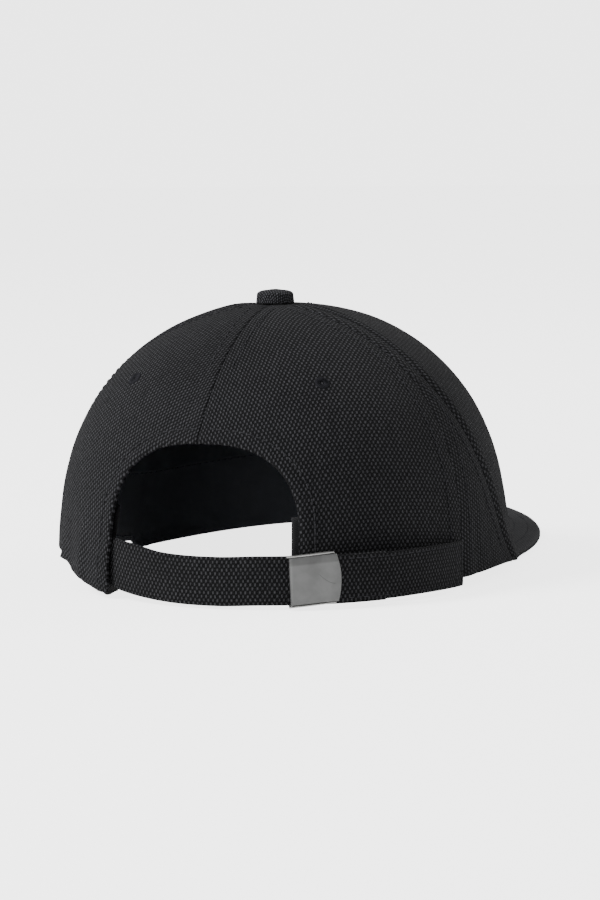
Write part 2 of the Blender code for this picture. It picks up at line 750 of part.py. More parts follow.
def build():
    clear_scene()
    make_panels()
    make_tapes()
    make_opening_facing()
    make_eyelets()
    make_button()
    make_visor()
    make_sweatband()
    make_strap()
    make_clasp_band()
    make_clasp()
    make_shell()
    make_pads()


build()
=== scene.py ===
"""Bump cap: the visual model of the canvas cap, its clasp strap and its protective insert.

Every length is in metres unless it ends in MM. Places round the crown are angles in degrees from the
middle of the back, positive towards the wearer's right (-X). A climb is an angle up the crown's wall,
0 at the rim and a right angle at the button.
"""
import math

import bmesh
import bpy
from mathutils import Matrix, Vector, noise


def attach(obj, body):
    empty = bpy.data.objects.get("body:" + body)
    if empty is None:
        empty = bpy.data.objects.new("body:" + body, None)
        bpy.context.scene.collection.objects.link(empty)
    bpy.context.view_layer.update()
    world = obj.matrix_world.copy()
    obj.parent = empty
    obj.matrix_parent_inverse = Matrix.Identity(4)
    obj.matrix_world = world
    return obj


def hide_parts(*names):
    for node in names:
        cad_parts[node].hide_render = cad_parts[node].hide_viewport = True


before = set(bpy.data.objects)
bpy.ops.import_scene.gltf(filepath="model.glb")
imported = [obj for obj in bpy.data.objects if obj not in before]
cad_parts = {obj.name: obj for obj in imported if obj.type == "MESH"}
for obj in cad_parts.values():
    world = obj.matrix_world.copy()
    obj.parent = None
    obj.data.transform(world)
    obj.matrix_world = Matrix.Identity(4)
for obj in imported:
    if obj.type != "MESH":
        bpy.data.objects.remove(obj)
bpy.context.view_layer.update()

MM = 0.001
UP = Vector((0.0, 0.0, 1.0))
FAR = 1.0  # a distance beyond every edge and seam

# The crown, as the frame has it
CROWN_CENTRE = Vector((0.15, 38.94, 0.0)) * MM
HALF_WIDTH = 90.4 * MM
HALF_LENGTH = 104.2 * MM
CROWN_TOP = 110.7 * MM
BUTTON_BACK = 4.0 * MM
CROWN_LEAN = 1.1 * MM
FRONT_RISE = 9.8 * MM
LEFT_LIFT = 9.0 * MM
LEFT_LIFT_AT = -60.0
LEFT_LIFT_WIDTH = 22.0
PLAN_POWER_BACK = 1.90
PLAN_POWER_FRONT = 2.10
WALL_POWER_BACK = 1.73
WALL_POWER_SIDE = 1.96
WALL_POWER_FRONT = 2.33
WALL_RISE_POWER = 0.64
FRONT_FLARE = 8.6 * MM
FLARE_HEIGHT = 13.1 * MM
POLE_CLIMB = math.radians(87.4)
PANEL_CLOTH = 1.2 * MM
SEAM_GAP = 0.03 * MM

# Seams
BACK_SEAM = 75.0
BACK_SEAM_TOP = 62.0
FRONT_SEAM_RIM = 101.5
FRONT_SEAM_CLIMB = 26.5
FRONT_SEAM_TOP = 5.0
TAPE_WIDTH = 8.0 * MM
TAPE_DEPTH = 1.7 * MM
TAPE_CLOTH = 0.5 * MM
TOPSTITCH = 6.0 * MM

# Rear opening
OPENING_MIDDLE = -4.3 * MM
OPENING_HALF = 38.8 * MM
OPENING_SPRING = 24.0 * MM
OPENING_TOP = 61.3 * MM
OPENING_POWER = 2.4
OPENING_POWER_LEFT = 2.7
FACING_WIDTH = 9.0 * MM
FACING_INSET = 0.8 * MM  # it stops this far inside the folded edge
FACING_CLEAR = 0.05  # radians up from each foot, above the strap's root
FOOT_SPREAD = (1.3 * MM, 0.9 * MM)  # the strap's pull opens the arch's left and right feet
FOOT_CORNER = 2.2 * MM

# Visor
VISOR_CORNER = 118.6
VISOR_REACH = 69.5 * MM
VISOR_POWER = 2.26
VISOR_BULGE = 4.6 * MM
VISOR_BEND = 505.0 * MM
VISOR_DROP = 0.009
VISOR_UPTURN = 0.17 / 1000.0 / MM
VISOR_CORNER_WIDTH = 0.002
VISOR_SEAT = 10.6 * MM
VISOR_RUN_IN = 34.0
VISOR_SINK = 0.5 * MM
VISOR_THICK = 3.3 * MM

# Strap, clasp and band: circles about one upright axis
STRAP_CENTRE = CROWN_CENTRE + Vector((-7.0, 24.4, 0.0)) * MM
STRAP_RADIUS = 78.0 * MM
CLASP_START = 25.5
CLASP_FACE = 81.55 * MM
CLASP_LEAN = 0.085
CLASP_LEVEL = (0.072, 0.045, 1.0)  # its dot product with a place is level along the clasp
CLASP_ALONG = (-0.848, -0.53, 0.0)  # and this one runs along it
SCRATCH_ENDS = (-25.1 * MM, -18.6 * MM)
SCRATCH_FOOT = 10.8 * MM
SCRATCH_FALL = 4.2 * MM

# Weave: pitch of the yarns across and along each panel
YARN_ACROSS = 0.91 * MM
YARN_ALONG = 1.48 * MM


# Shapes of the crown

def signed_power(value, power):
    return math.copysign(abs(value) ** power, value)


def clamp(value):
    return min(max(value, 0.0), 1.0)


def smooth_step(value):
    share = clamp(value)
    return share * share * (3.0 - 2.0 * share)


def bell(distance, width):
    """1 at no distance, falling to nearly 0 at twice the width."""
    return math.exp(-(distance / width) ** 2)


def full_edge(edge, power):
    """Share of the full thickness near a rounded edge: 0 where edge is 1, and nearly 1 further in."""
    return math.sqrt(max(1.0 - edge ** power, 0.0))


def from_back(angle):
    """The same angle, between -180 and 180."""
    return (angle + 180.0) % 360.0 - 180.0


def eased(step, steps):
    """Share from 0 to 1 whose steps close up towards both ends."""
    return 0.5 - 0.5 * math.cos(math.pi * step / steps)


def circle(sides):
    """Cosine and sine of each corner of an even polygon."""
    turns = [2.0 * math.pi * step / sides for step in range(sides)]
    return [(math.cos(turn), math.sin(turn)) for turn in turns]


def running_lengths(points):
    lengths = [0.0]
    for before, after in zip(points, points[1:]):
        lengths.append(lengths[-1] + (after - before).length)
    return lengths


def arch_place(turn, half, spring, top, power):
    """Sideways distance and height on an arch; turn goes from one foot, 0, to the other, half a turn."""
    x = half * signed_power(math.cos(turn), 2.0 / power)
    return x, spring + (top - spring) * math.sin(turn) ** (2.0 / power)


def rim_flare(toward_back):
    front = min(max((0.35 - toward_back) / 1.35, 0.0), 1.0)
    return FRONT_FLARE * math.sin(front * math.pi / 2.0)


def rim_plan(angle, depth=0.0):
    radians = math.radians(angle)
    toward_back = math.cos(radians)
    plan = 2.0 / (PLAN_POWER_BACK if toward_back > 0.0 else PLAN_POWER_FRONT)
    flare = rim_flare(toward_back)
    x = -(HALF_WIDTH - depth + flare) * signed_power(math.sin(radians), plan)
    y = (HALF_LENGTH - depth + flare) * signed_power(toward_back, plan)
    return x, y


def visor_height(x, y):
    forward = -HALF_LENGTH - y
    drop = x * x / (2.0 * VISOR_BEND) + VISOR_DROP * forward - VISOR_UPTURN * max(forward, 0.0) ** 2
    return VISOR_SEAT - drop


def rim_height(angle):
    turn = from_back(angle)
    free = FRONT_RISE * (1.0 - math.cos(math.radians(angle))) / 2.0
    free += LEFT_LIFT * bell(turn - LEFT_LIFT_AT, LEFT_LIFT_WIDTH)
    on_visor = smooth_step((abs(turn) - VISOR_CORNER) / VISOR_RUN_IN + 1.0)
    return free + (visor_height(*rim_plan(angle)) - free) * on_visor


def wall_power(angle):
    toward_back = math.cos(math.radians(angle))
    back = max(toward_back, 0.0) ** 2
    front = max(-toward_back, 0.0) ** 2
    return back * WALL_POWER_BACK + front * WALL_POWER_FRONT + (1.0 - back - front) * WALL_POWER_SIDE


def crown_point(angle, climb, depth=0.0):
    """Point on the crown, depth below its outer face (a negative depth stands proud)."""
    toward_back = math.cos(math.radians(angle))
    power = wall_power(angle)
    inward = math.cos(climb) ** (2.0 / power)
    rim = rim_height(angle)
    height = rim + (CROWN_TOP - depth - rim) * math.sin(climb) ** (2.0 / (power + WALL_RISE_POWER))
    upright = rim_flare(toward_back) * (1.0 - math.exp(-max(height - rim, 0.0) / FLARE_HEIGHT))
    x, y = rim_plan(angle, depth + upright)
    lean = CROWN_LEAN * math.sin(math.pi * min(max(height / CROWN_TOP, 0.0), 1.0))
    return CROWN_CENTRE + Vector((x * inward - lean, BUTTON_BACK + (y - BUTTON_BACK) * inward, height))


def climb_at_height(angle, height, depth=0.0):
    rim = rim_height(angle)
    share = min(max((height - rim) / (CROWN_TOP - depth - rim), 0.0), 1.0)
    return math.asin(share ** ((wall_power(angle) + WALL_RISE_POWER) / 2.0))


def crown_at_height(angle, height, depth=0.0):
    return crown_point(angle, climb_at_height(angle, height, depth), depth)


def angle_behind(x, height, depth=0.0):
    """Angle of the point on the back half of the crown with this height and this x from its centre."""
    low, high = -88.0, 88.0
    for _ in range(30):
        middle = (low + high) / 2.0
        if crown_at_height(middle, height, depth).x - CROWN_CENTRE.x > x:
            low = middle
        else:
            high = middle
    return middle


def crown_normal(angle, climb):
    step = 0.01
    climb = min(max(climb, step), POLE_CLIMB - step)
    along = crown_point(angle + 1.0, climb) - crown_point(angle - 1.0, climb)
    up = crown_point(angle, climb + step) - crown_point(angle, climb - step)
    return along.cross(up).normalized()


def ring_radius(angle, climb):
    """Distance from the button's axis, which turns a small angle into a length."""
    point = crown_point(angle, climb) - CROWN_CENTRE
    return math.hypot(point.x, point.y - BUTTON_BACK)


def height_share(climb):
    return math.sin(climb) ** (2.0 / (WALL_POWER_SIDE + WALL_RISE_POWER))


def middle_back(climb):
    return 0.0


def back_seam(climb):
    return BACK_SEAM - (BACK_SEAM - BACK_SEAM_TOP) * height_share(climb) ** 12


def front_seam(climb):
    share = height_share(climb)
    return FRONT_SEAM_RIM - FRONT_SEAM_CLIMB * share ** 0.85 + FRONT_SEAM_TOP * share ** 12


def middle_front(climb):
    return 180.0


# Materials

class Nodes:
    """Short names for building one material's node tree."""

    def __init__(self, name):
        self.material = bpy.data.materials.new(name)
        self.material.use_nodes = True
        self.tree = self.material.node_tree
        self.shader = self.tree.nodes["Principled BSDF"]

    def add(self, kind, **settings):
        node = self.tree.nodes.new(kind)
        for key, value in settings.items():
            setattr(node, key, value)
        return node

    def link(self, source, target):
        self.tree.links.new(source, target)

    def put(self, socket, value):
        if isinstance(value, bpy.types.NodeSocket):
            self.link(value, socket)
        else:
            socket.default_value = value

    def math(self, operation, *values):
        node = self.add("ShaderNodeMath", operation=operation)
        for socket, value in zip(node.inputs, values):
            self.put(socket, value)
        return node.outputs[0]

    def times(self, first, second):
        return self.math("MULTIPLY", first, second)

    def plus(self, first, second):
        return self.math("ADD", first, second)

    def dot(self, vector, fixed):
        node = self.add("ShaderNodeVectorMath", operation="DOT_PRODUCT")
        self.link(vector, node.inputs[0])
        node.inputs[1].default_value = fixed
        return node.outputs["Value"]

    def ramp(self, value, low, high, to_low=0.0, to_high=1.0):
        node = self.add("ShaderNodeMapRange", interpolation_type="SMOOTHSTEP")
        for socket, given in zip(node.inputs, (value, low, high, to_low, to_high)):
            self.put(socket, given)
        return node.outputs[0]

    def mix_colour(self, share, low, high):
        node = self.add("ShaderNodeMix", data_type="RGBA")
        self.put(node.inputs[0], share)
        for socket, colour in ((node.inputs[6], low), (node.inputs[7], high)):
            self.put(socket, colour if isinstance(colour, bpy.types.NodeSocket) else (*colour, 1.0))
        return node.outputs[2]

    def paint(self, share, low, high):
        """Base colour between two tones."""
        self.link(self.mix_colour(share, low, high), self.shader.inputs["Base Color"])

    def shade(self, colour, share):
        """Colour made darker."""
        node = self.add("ShaderNodeMix", data_type="RGBA")
        node.inputs[0].default_value = 1.0 - share
        self.put(node.inputs[6], colour)
        node.inputs[7].default_value = (0.0, 0.0, 0.0, 1.0)
        return node.outputs[2]

    def noise(self, vector, scale, detail=2.0, roughness=0.5):
        node = self.add("ShaderNodeTexNoise")
        node.inputs["Scale"].default_value = scale
        node.inputs["Detail"].default_value = detail
        node.inputs["Roughness"].default_value = roughness
        self.link(vector, node.inputs["Vector"])
        return node.outputs["Fac"]

    def place(self):
        """Place on the object, in metres."""
        return self.add("ShaderNodeTexCoord").outputs["Object"]

    def cloth_place(self):
        """Place on the flat cloth, in metres, as two numbers."""
        split = self.add("ShaderNodeSeparateXYZ")
        self.link(self.add("ShaderNodeUVMap", uv_map="cloth").outputs["UV"], split.inputs[0])
        return split.outputs["X"], split.outputs["Y"]

    def bump(self, height, distance, strength=1.0):
        node = self.add("ShaderNodeBump")
        node.inputs["Distance"].default_value = distance
        node.inputs["Strength"].default_value = strength
        self.link(height, node.inputs["Height"])
        self.link(node.outputs["Normal"], self.shader.inputs["Normal"])

    def set(self, **values):
        for name, value in values.items():
            self.put(self.shader.inputs[name.replace("_", " ")], value)


def plain_weave(nodes, across, along):
    """Height of a plain weave, 0 in the gaps and 1 on the yarns, and a random number for each crossing."""
    u, v = nodes.cloth_place()
    place = nodes.place()
    wander = nodes.math("SUBTRACT", nodes.noise(place, 260.0, 1.0), 0.5)
    drift = nodes.math("SUBTRACT", nodes.noise(place, 900.0, 1.0), 0.5)
    u = nodes.plus(u, nodes.times(wander, 0.85 * MM))
    v = nodes.plus(v, nodes.times(drift, 0.6 * MM))
    a = nodes.math("DIVIDE", u, across)
    b = nodes.math("DIVIDE", v, along)
    wave_a = nodes.math("SINE", nodes.times(a, math.pi))
    wave_b = nodes.math("SINE", nodes.times(b, math.pi))
    narrow = nodes.math("POWER", nodes.math("ABSOLUTE", wave_b), 0.5)
    crossing = nodes.times(wave_a, nodes.times(wave_b, narrow))
    over = nodes.ramp(crossing, -0.28, 0.72)
    under = nodes.ramp(crossing, -0.15, -0.95, 0.0, 0.16)
    height = nodes.math("MAXIMUM", over, under)
    cell = nodes.add("ShaderNodeCombineXYZ")
    nodes.link(nodes.math("FLOOR", a), cell.inputs[0])
    nodes.link(nodes.math("FLOOR", b), cell.inputs[1])
    random = nodes.add("ShaderNodeTexWhiteNoise", noise_dimensions="2D")
    nodes.link(cell.outputs[0], random.inputs["Vector"])
    return height, random.outputs["Value"]


def canvas(name, gap=(0.0008, 0.0008, 0.0011), yarn=(0.052, 0.052, 0.057), relief=0.50 * MM):
    """Black cotton canvas: thick uneven yarns, with painted shade in the gaps between them."""
    nodes = Nodes(name)
    height, crossing = plain_weave(nodes, YARN_ACROSS, YARN_ALONG)
    place = nodes.place()
    worn = nodes.noise(place, 28.0, 3.0)
    fibre = nodes.noise(place, 5200.0, 2.0, 0.7)
    light = nodes.times(height, nodes.ramp(crossing, 0.0, 1.0, 0.82, 1.12))
    light = nodes.times(light, nodes.ramp(worn, 0.3, 0.7, 0.86, 1.12))
    light = nodes.times(light, nodes.ramp(fibre, 0.25, 0.75, 0.75, 1.2))
    # Partly painted shade: the colour follows the weave's height, near black in the gaps where shade falls
    # between the yarns; the random tone per crossing, patch and fibre is the cloth's own.
    nodes.paint(light, gap, yarn)
    bumps = nodes.plus(height, nodes.times(fibre, 0.22))
    nodes.bump(nodes.plus(bumps, nodes.times(crossing, 0.06)), relief, 0.9)
    nodes.set(Roughness=nodes.ramp(fibre, 0.2, 0.8, 0.78, 0.95), Sheen_Weight=0.02, Sheen_Roughness=0.45,
              Specular_IOR_Level=0.12)
    return nodes.material


def twill(name, low, high, pitch, along=0.8 * MM):
    """Fine twill: slanting ribs."""
    nodes = Nodes(name)
    u, v = nodes.cloth_place()
    place = nodes.place()
    slant = nodes.plus(nodes.math("DIVIDE", u, pitch), nodes.math("DIVIDE", v, along))
    rib = nodes.math("ABSOLUTE", nodes.math("SINE", nodes.times(slant, math.pi)))
    fibre = nodes.noise(place, 4200.0, 2.0, 0.7)
    patch = nodes.noise(place, 40.0, 3.0)
    light = nodes.times(rib, nodes.ramp(fibre, 0.25, 0.75, 0.6, 1.25))
    nodes.paint(nodes.times(light, nodes.ramp(patch, 0.3, 0.7, 0.8, 1.15)), low, high)
    nodes.bump(nodes.plus(rib, nodes.times(fibre, 0.4)), 0.14 * MM, 0.8)
    nodes.set(Roughness=0.88, Sheen_Weight=0.15, Sheen_Roughness=0.4, Specular_IOR_Level=0.3)
    return nodes.material


def thread(name, low, high):
    """Spun sewing thread: fine fibres and a tone that changes slowly."""
    nodes = Nodes(name)
    place = nodes.place()
    fibre = nodes.noise(place, 6500.0, 2.0, 0.6)
    tone = nodes.noise(place, 120.0, 2.0)
    nodes.paint(nodes.times(fibre, nodes.ramp(tone, 0.3, 0.7, 0.7, 1.3)), low, high)
    nodes.bump(fibre, 0.08 * MM, 0.7)
    nodes.set(Roughness=0.85, Sheen_Weight=0.0, Specular_IOR_Level=0.08)
    return nodes.material


def hairline(nodes, place, level):
    """A short curved scratch on the clasp's flap: 1 along it and 0 elsewhere."""
    share = nodes.add("ShaderNodeMapRange")
    nodes.link(nodes.dot(place, CLASP_ALONG), share.inputs["Value"])
    for socket, given in zip(share.inputs[1:5], (*SCRATCH_ENDS, 1.0, 0.0)):
        socket.default_value = given
    along = share.outputs[0]
    height = nodes.plus(nodes.times(nodes.math("POWER", along, 1.7), SCRATCH_FALL), SCRATCH_FOOT)
    away = nodes.math("ABSOLUTE", nodes.math("SUBTRACT", level, height))
    thin = nodes.ramp(away, 0.05 * MM, 0.20 * MM, 1.0, 0.0)
    return nodes.times(thin, nodes.times(nodes.ramp(along, 0.0, 0.06), nodes.ramp(along, 1.0, 0.94)))


def satin_metal(name, colour, dark, top_shade_tone=1.0, scratched=False):
    """Satin-plated steel: brushed grain, faint smudges, painted shade along the top and, where asked, a
    scratch.
    """
    nodes = Nodes(name)
    place = nodes.place()
    stretch = nodes.add("ShaderNodeMapping", vector_type="POINT")
    stretch.inputs["Scale"].default_value = (1.0, 1.0, 14.0)
    nodes.link(place, stretch.inputs["Vector"])
    grain = nodes.noise(stretch.outputs[0], 1500.0, 3.0, 0.6)
    smudge = nodes.noise(place, 190.0, 3.0)
    plating = nodes.mix_colour(nodes.ramp(smudge, 0.3, 0.7), dark, colour)
    level = nodes.dot(place, CLASP_LEVEL)
    # Painted shade: the colour is darkened in a band along the clasp's top edge, standing for shade on the
    # bowed face; the tone given keeps that share of the colour, and 1 leaves it unchanged.
    top_shade_mask = nodes.ramp(level, 18.7 * MM, 19.7 * MM, 0.0, 1.0)
    plating = nodes.mix_colour(top_shade_mask, plating, nodes.shade(plating, top_shade_tone))
    rough = nodes.plus(nodes.ramp(smudge, 0.2, 0.8, 0.30, 0.38), nodes.times(grain, 0.08))
    line = hairline(nodes, place, level) if scratched else 0.0
    nodes.bump(nodes.math("SUBTRACT", nodes.times(grain, 0.10), line), 0.04 * MM, 0.5)
    if scratched:
        plating = nodes.mix_colour(nodes.times(line, 0.32), plating, (0.02, 0.02, 0.02))
    nodes.link(plating, nodes.shader.inputs["Base Color"])
    nodes.set(Roughness=rough, Metallic=1.0)
    return nodes.material


def moulded_plastic(name, low, high, roughness):
    """Moulded plastic with a spark-eroded texture and scuffs."""
    nodes = Nodes(name)
    place = nodes.place()
    grain = nodes.noise(place, 1600.0, 2.0, 0.6)
    scuff = nodes.noise(place, 60.0, 4.0, 0.65)
    nodes.paint(nodes.ramp(scuff, 0.45, 0.75), low, high)
    nodes.bump(grain, 0.08 * MM, 0.5)
    nodes.set(Roughness=nodes.ramp(scuff, 0.3, 0.7, roughness - 0.06, roughness + 0.1))
    return nodes.material


def closed_foam(name, low, high):
    """Closed-cell foam: small round cells."""
    nodes = Nodes(name)
    place = nodes.place()
    cells = nodes.add("ShaderNodeTexVoronoi", feature="F1")
    cells.inputs["Scale"].default_value = 1300.0
    nodes.link(place, cells.inputs["Vector"])
    patch = nodes.noise(place, 55.0, 3.0)
    nodes.paint(nodes.ramp(cells.outputs["Distance"], 0.1, 0.7, 1.0, 0.0), low, high)
    nodes.bump(cells.outputs["Distance"], 0.22 * MM, 0.7)
    nodes.set(Roughness=nodes.ramp(patch, 0.3, 0.7, 0.85, 0.97), Specular_IOR_Level=0.3)
    return nodes.material


def plain_white(name, tone):
    """Matt studio paper, a little uneven."""
    nodes = Nodes(name)
    nodes.paint(nodes.noise(nodes.place(), 1.5, 2.0), (tone * 0.985,) * 3, (tone,) * 3)
    nodes.set(Roughness=0.95, Specular_IOR_Level=0.1)
    return nodes.material


# These canvases keep the default near-black gap colour, which is painted shade between the yarns.
CANVAS = canvas("black_canvas")
WEBBING = canvas("strap_canvas", yarn=(0.050, 0.050, 0.054))
BUTTON_CANVAS = canvas("button_canvas", yarn=(0.085, 0.085, 0.095))
# Partly painted sheen: a copy of the black canvas with much lighter gaps, so the visor reads grey as its
# sheen does; its weave relief is also kept low.
VISOR_SHEEN_CANVAS = canvas("visor_canvas", (0.026, 0.026, 0.028), (0.054, 0.054, 0.058), relief=0.08 * MM)
TAPE = twill("seam_tape_twill", (0.003, 0.003, 0.0035), (0.016, 0.016, 0.018), 0.9 * MM)
BAND_TWILL = twill("sweatband_twill", (0.070, 0.074, 0.086), (0.135, 0.142, 0.165), 0.7 * MM)
# Painted light: a lighter copy of the seam tape's twill, lifting the shadowed inner edge of the rear opening.
LIT_FACING_TAPE = twill("facing_twill", (0.030, 0.031, 0.035), (0.065, 0.067, 0.075), 0.9 * MM)
EYELET_THREAD = thread("eyelet_thread", (0.003, 0.003, 0.004), (0.034, 0.034, 0.040))
THREAD = thread("black_thread", (0.018, 0.018, 0.020), (0.052, 0.052, 0.057))
BAND_THREAD = thread("sweatband_thread", (0.060, 0.064, 0.074), (0.13, 0.137, 0.16))
VISOR_THREAD = thread("visor_thread", (0.028, 0.028, 0.030), (0.056, 0.056, 0.060))
METAL = satin_metal("satin_nickel", (0.60, 0.60, 0.59), (0.50, 0.50, 0.49))
# Painted shade: the flap takes a darker copy of the satin nickel above, standing for the dark surroundings it
# reflects, with painted shade in the band along its top as well.
SHADED_FLAP_NICKEL = satin_metal("flap_nickel_shaded", (0.238, 0.240, 0.238), (0.200, 0.202, 0.200), 0.74, scratched=True)
PLASTIC = moulded_plastic("shell_plastic", (0.060, 0.064, 0.074), (0.095, 0.102, 0.118), 0.5)
BOARD = moulded_plastic("visor_board_plastic", (0.03, 0.03, 0.034), (0.06, 0.06, 0.065), 0.5)
FOAM = closed_foam("eva_foam", (0.055, 0.059, 0.068), (0.120, 0.127, 0.147))


# Making meshes

def make_piece(name, mesh, material, body, replaced=()):
    """Object for a finished mesh, riding on a body and standing for its CAD nodes."""
    mesh.materials.append(material)
    piece = bpy.data.objects.new(name, mesh)
    bpy.context.scene.collection.objects.link(piece)
    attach(piece, body)
    if replaced:
        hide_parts(*replaced)
    return piece


def finish_mesh(name, shape, sharp=50.0):
    bmesh.ops.recalc_face_normals(shape, faces=shape.faces)
    mesh = bpy.data.meshes.new(name)
    shape.to_mesh(mesh)
    shape.free()
    mesh.shade_smooth()
    mesh.set_sharp_from_angle(angle=math.radians(sharp))
    return mesh


def sheet_shape(outer, inner, flat=None, wrap=False):
    """Solid between two grids of points of one size. flat gives each grid point's place on the flat cloth."""
    shape = bmesh.new()
    cloth = shape.loops.layers.uv.new("cloth")
    rows, columns = len(outer), len(outer[0])
    sides = [[[shape.verts.new(point) for point in row] for row in grid] for grid in (outer, inner)]
    spans = [(column, (column + 1) % columns) for column in range(columns if wrap else columns - 1)]

    def face(corners):
        """Face from (side, row, column) corners."""
        made = shape.faces.new([sides[side][row][column] for side, row, column in corners])
        if flat:
            for loop, (side, row, column) in zip(made.loops, corners):
                loop[cloth].uv = flat[row][column]
        return made

    for side in (0, 1):
        for row in range(rows - 1):
            for column, after in spans:
                face([(side, row, column), (side, row, after), (side, row + 1, after),
                      (side, row + 1, column)])
    for row in (0, rows - 1):
        for column, after in spans:
            face([(0, row, column), (0, row, after), (1, row, after), (1, row, column)])
    if not wrap:
        for column in (0, columns - 1):
            for row in range(rows - 1):
                face([(0, row, column), (0, row + 1, column), (1, row + 1, column), (1, row, column)])
    return shape


def sheet_piece(name, rows, columns, place, material, body, node=None, sharp=50.0, wrap=False):
    """Piece whose place(row, column) gives an outer point, an inner one and, for cloth, a flat place."""
    grid = [[place(row, column) for column in range(columns)] for row in range(rows)]
    layers = [[[spot[layer] for spot in line] for line in grid] for layer in range(len(grid[0][0]))]
    mesh = finish_mesh(name, sheet_shape(*layers, wrap=wrap), sharp)
    return make_piece(name, mesh, material, body, [node] if node else ())


def bridge(shape, first, second):
    """Faces between two rings of vertices."""
    for index in range(len(first)):
        after = (index + 1) % len(first)
        shape.faces.new((first[index], first[after], second[after], second[index]))


def spread(length, first, last, middle):
    """Distances along a length: fixed steps from each end and even ones between them."""
    reach = first[-1] + last[-1]
    fit = min(1.0, 0.8 * length / reach)
    low = [step * fit for step in first]
    high = [length - step * fit for step in reversed(last)]
    gap = (high[0] - low[-1]) / (middle + 1)
    return low + [low[-1] + gap * step for step in range(1, middle + 1)] + high


# Stitches

STITCH = 2.3 * MM
STITCH_PITCH = 3.1 * MM
STITCH_RADIUS = 0.24 * MM
STITCH_PROFILE = ((0.0, -1.2, 0.5), (0.16, 0.1, 0.95), (0.5, 0.5, 1.0), (0.84, 0.1, 0.95), (1.0, -1.2, 0.5))


def add_stitch(shape, start, end, normal):
    """One stitch: a thread that dives into the cloth at both ends."""
    along = (end - start).normalized()
    side = along.cross(normal).normalized()
    rings = []
    for share, rise, thick in STITCH_PROFILE:
        middle = start.lerp(end, share) + normal * (rise * STITCH_RADIUS)
        rings.append([shape.verts.new(middle + (side * x + normal * y) * (STITCH_RADIUS * thick))
                      for x, y in circle(6)])
    for first, second in zip(rings, rings[1:]):
        bridge(shape, first, second)
    shape.faces.new(rings[0])
    shape.faces.new(rings[-1][::-1])


def sew(shape, path):
    """Row of stitches along a path of (point, normal)."""
    travelled = 0.0
    start = None
    for (point, normal), (after, _) in zip(path, path[1:]):
        length = (after - point).length
        if length <= 0.0:
            continue
        place = 0.0
        while place < length:
            need = (STITCH_PITCH - STITCH if start is None else STITCH) - travelled
            if place + need > length:
                travelled += length - place
                break
            place += need
            travelled = 0.0
            here = point.lerp(after, place / length)
            if start is None:
                start = here
            else:
                add_stitch(shape, start, here, normal)
                start = None


# Cloth of the crown

EDGE_STOPS = [step * MM for step in (0.0, 0.3, 0.7, 1.2, 1.9, 3.0, 4.4, 5.3, 6.0, 6.7, 7.8, 9.5)]
ARCH_STOPS = [step * MM for step in (0.0, 0.25, 0.55, 0.95, 1.5, 2.4, 3.8, 5.2, 6.0, 6.8, 8.4)]
RIM_STOPS = [step * MM for step in (0.0, 0.25, 0.6, 1.1, 2.0, 3.4)]
POLE_STOPS = [step * MM for step in (0.0, 1.5)]
WALL_LENGTH = 150.0 * MM  # from the rim to the button, along the cloth
ROW_CROWDING = 1.15  # above 1, the rows lie closer together near the rim
ARC_OVER_CHORD = 1.03  # how much longer the cloth is than the straight line between its ends
SEAM_GROOVE_WIDTH = 0.5 * MM
ALLOWANCE = 5.2 * MM  # the raw edges folded under a seam reach this far
ALLOWANCE_FADE = 2.6 * MM
ARCH_ROLL_WIDTH = 0.8 * MM
ARCH_FOLD = 5.4 * MM
ARCH_FOLD_FADE = 2.4 * MM
STITCH_DIP_WIDTH = 0.9 * MM
STITCH_LIFT = 0.12 * MM
RIM_ROLL = 0.75 * MM
RIM_ROLL_WIDTH = 0.5 * MM
CALM_RADIUS = 4.0 * MM  # the cloth lies even this near the button
CALM_FADE = 16.0 * MM
EASE = 0.45 * MM  # slow unevenness of the cloth
FINE_EASE = 0.10 * MM
CREASE_AT = -55.0
CREASE_WIDTH = 24.0
CREASE_DEPTH = 2.0 * MM
CREASE_HEIGHT = 42.0 * MM
RIDGE_RISE = 1.3 * MM  # the soft ridge in front of the front seam
RIDGE_AT = 3.2 * MM
RIDGE_WIDTH = 2.4 * MM
PANEL_CROWNING = 0.55 * MM
STITCHED_TO = 0.93  # share of the climb where the topstitching ends


def seam_relief(distance, depth):
    """Rise of the cloth near a seam: a groove, the seam allowance under it and the topstitching's dip."""
    groove = -depth * bell(distance, SEAM_GROOVE_WIDTH)
    allowance = 0.22 * (1.0 - smooth_step((distance - ALLOWANCE) / ALLOWANCE_FADE))
    dip = -0.08 * bell(distance - TOPSTITCH, STITCH_DIP_WIDTH)
    return (groove + allowance + dip) * MM


def groove_depth(seam):
    """The back's middle seam is drawn in hardest; the others lie open as soft ridges."""
    return 0.50 if seam is middle_back else 0.08


def arch_relief(distance):
    """Rise of the cloth near the rear opening: a rolled edge, its fold and the topstitching's dip."""
    roll = -0.6 * bell(distance, ARCH_ROLL_WIDTH)
    fold = 0.30 * (1.0 - smooth_step((distance - ARCH_FOLD) / ARCH_FOLD_FADE))
    dip = -0.20 * bell(distance - TOPSTITCH, STITCH_DIP_WIDTH)
    return (roll + fold + dip) * MM


def rim_relief(height):
    """The turned-in hem rounds the rim's edge."""
    return -RIM_ROLL * bell(height, RIM_ROLL_WIDTH)


def hem_creases(angle, above):
    """Soft upright creases over the hem, strongest where the strap draws the back in."""
    turn = from_back(angle)
    drawn = 0.25 + 0.75 * bell(turn - CREASE_AT, CREASE_WIDTH)
    wave = noise.noise(Vector((turn * 0.34, above * 18.0, 3.0)))
    wave += 0.5 * noise.noise(Vector((turn * 0.47, 7.0, 1.0)))
    return CREASE_DEPTH * drawn * wave * (1.0 - smooth_step(above / CREASE_HEIGHT))


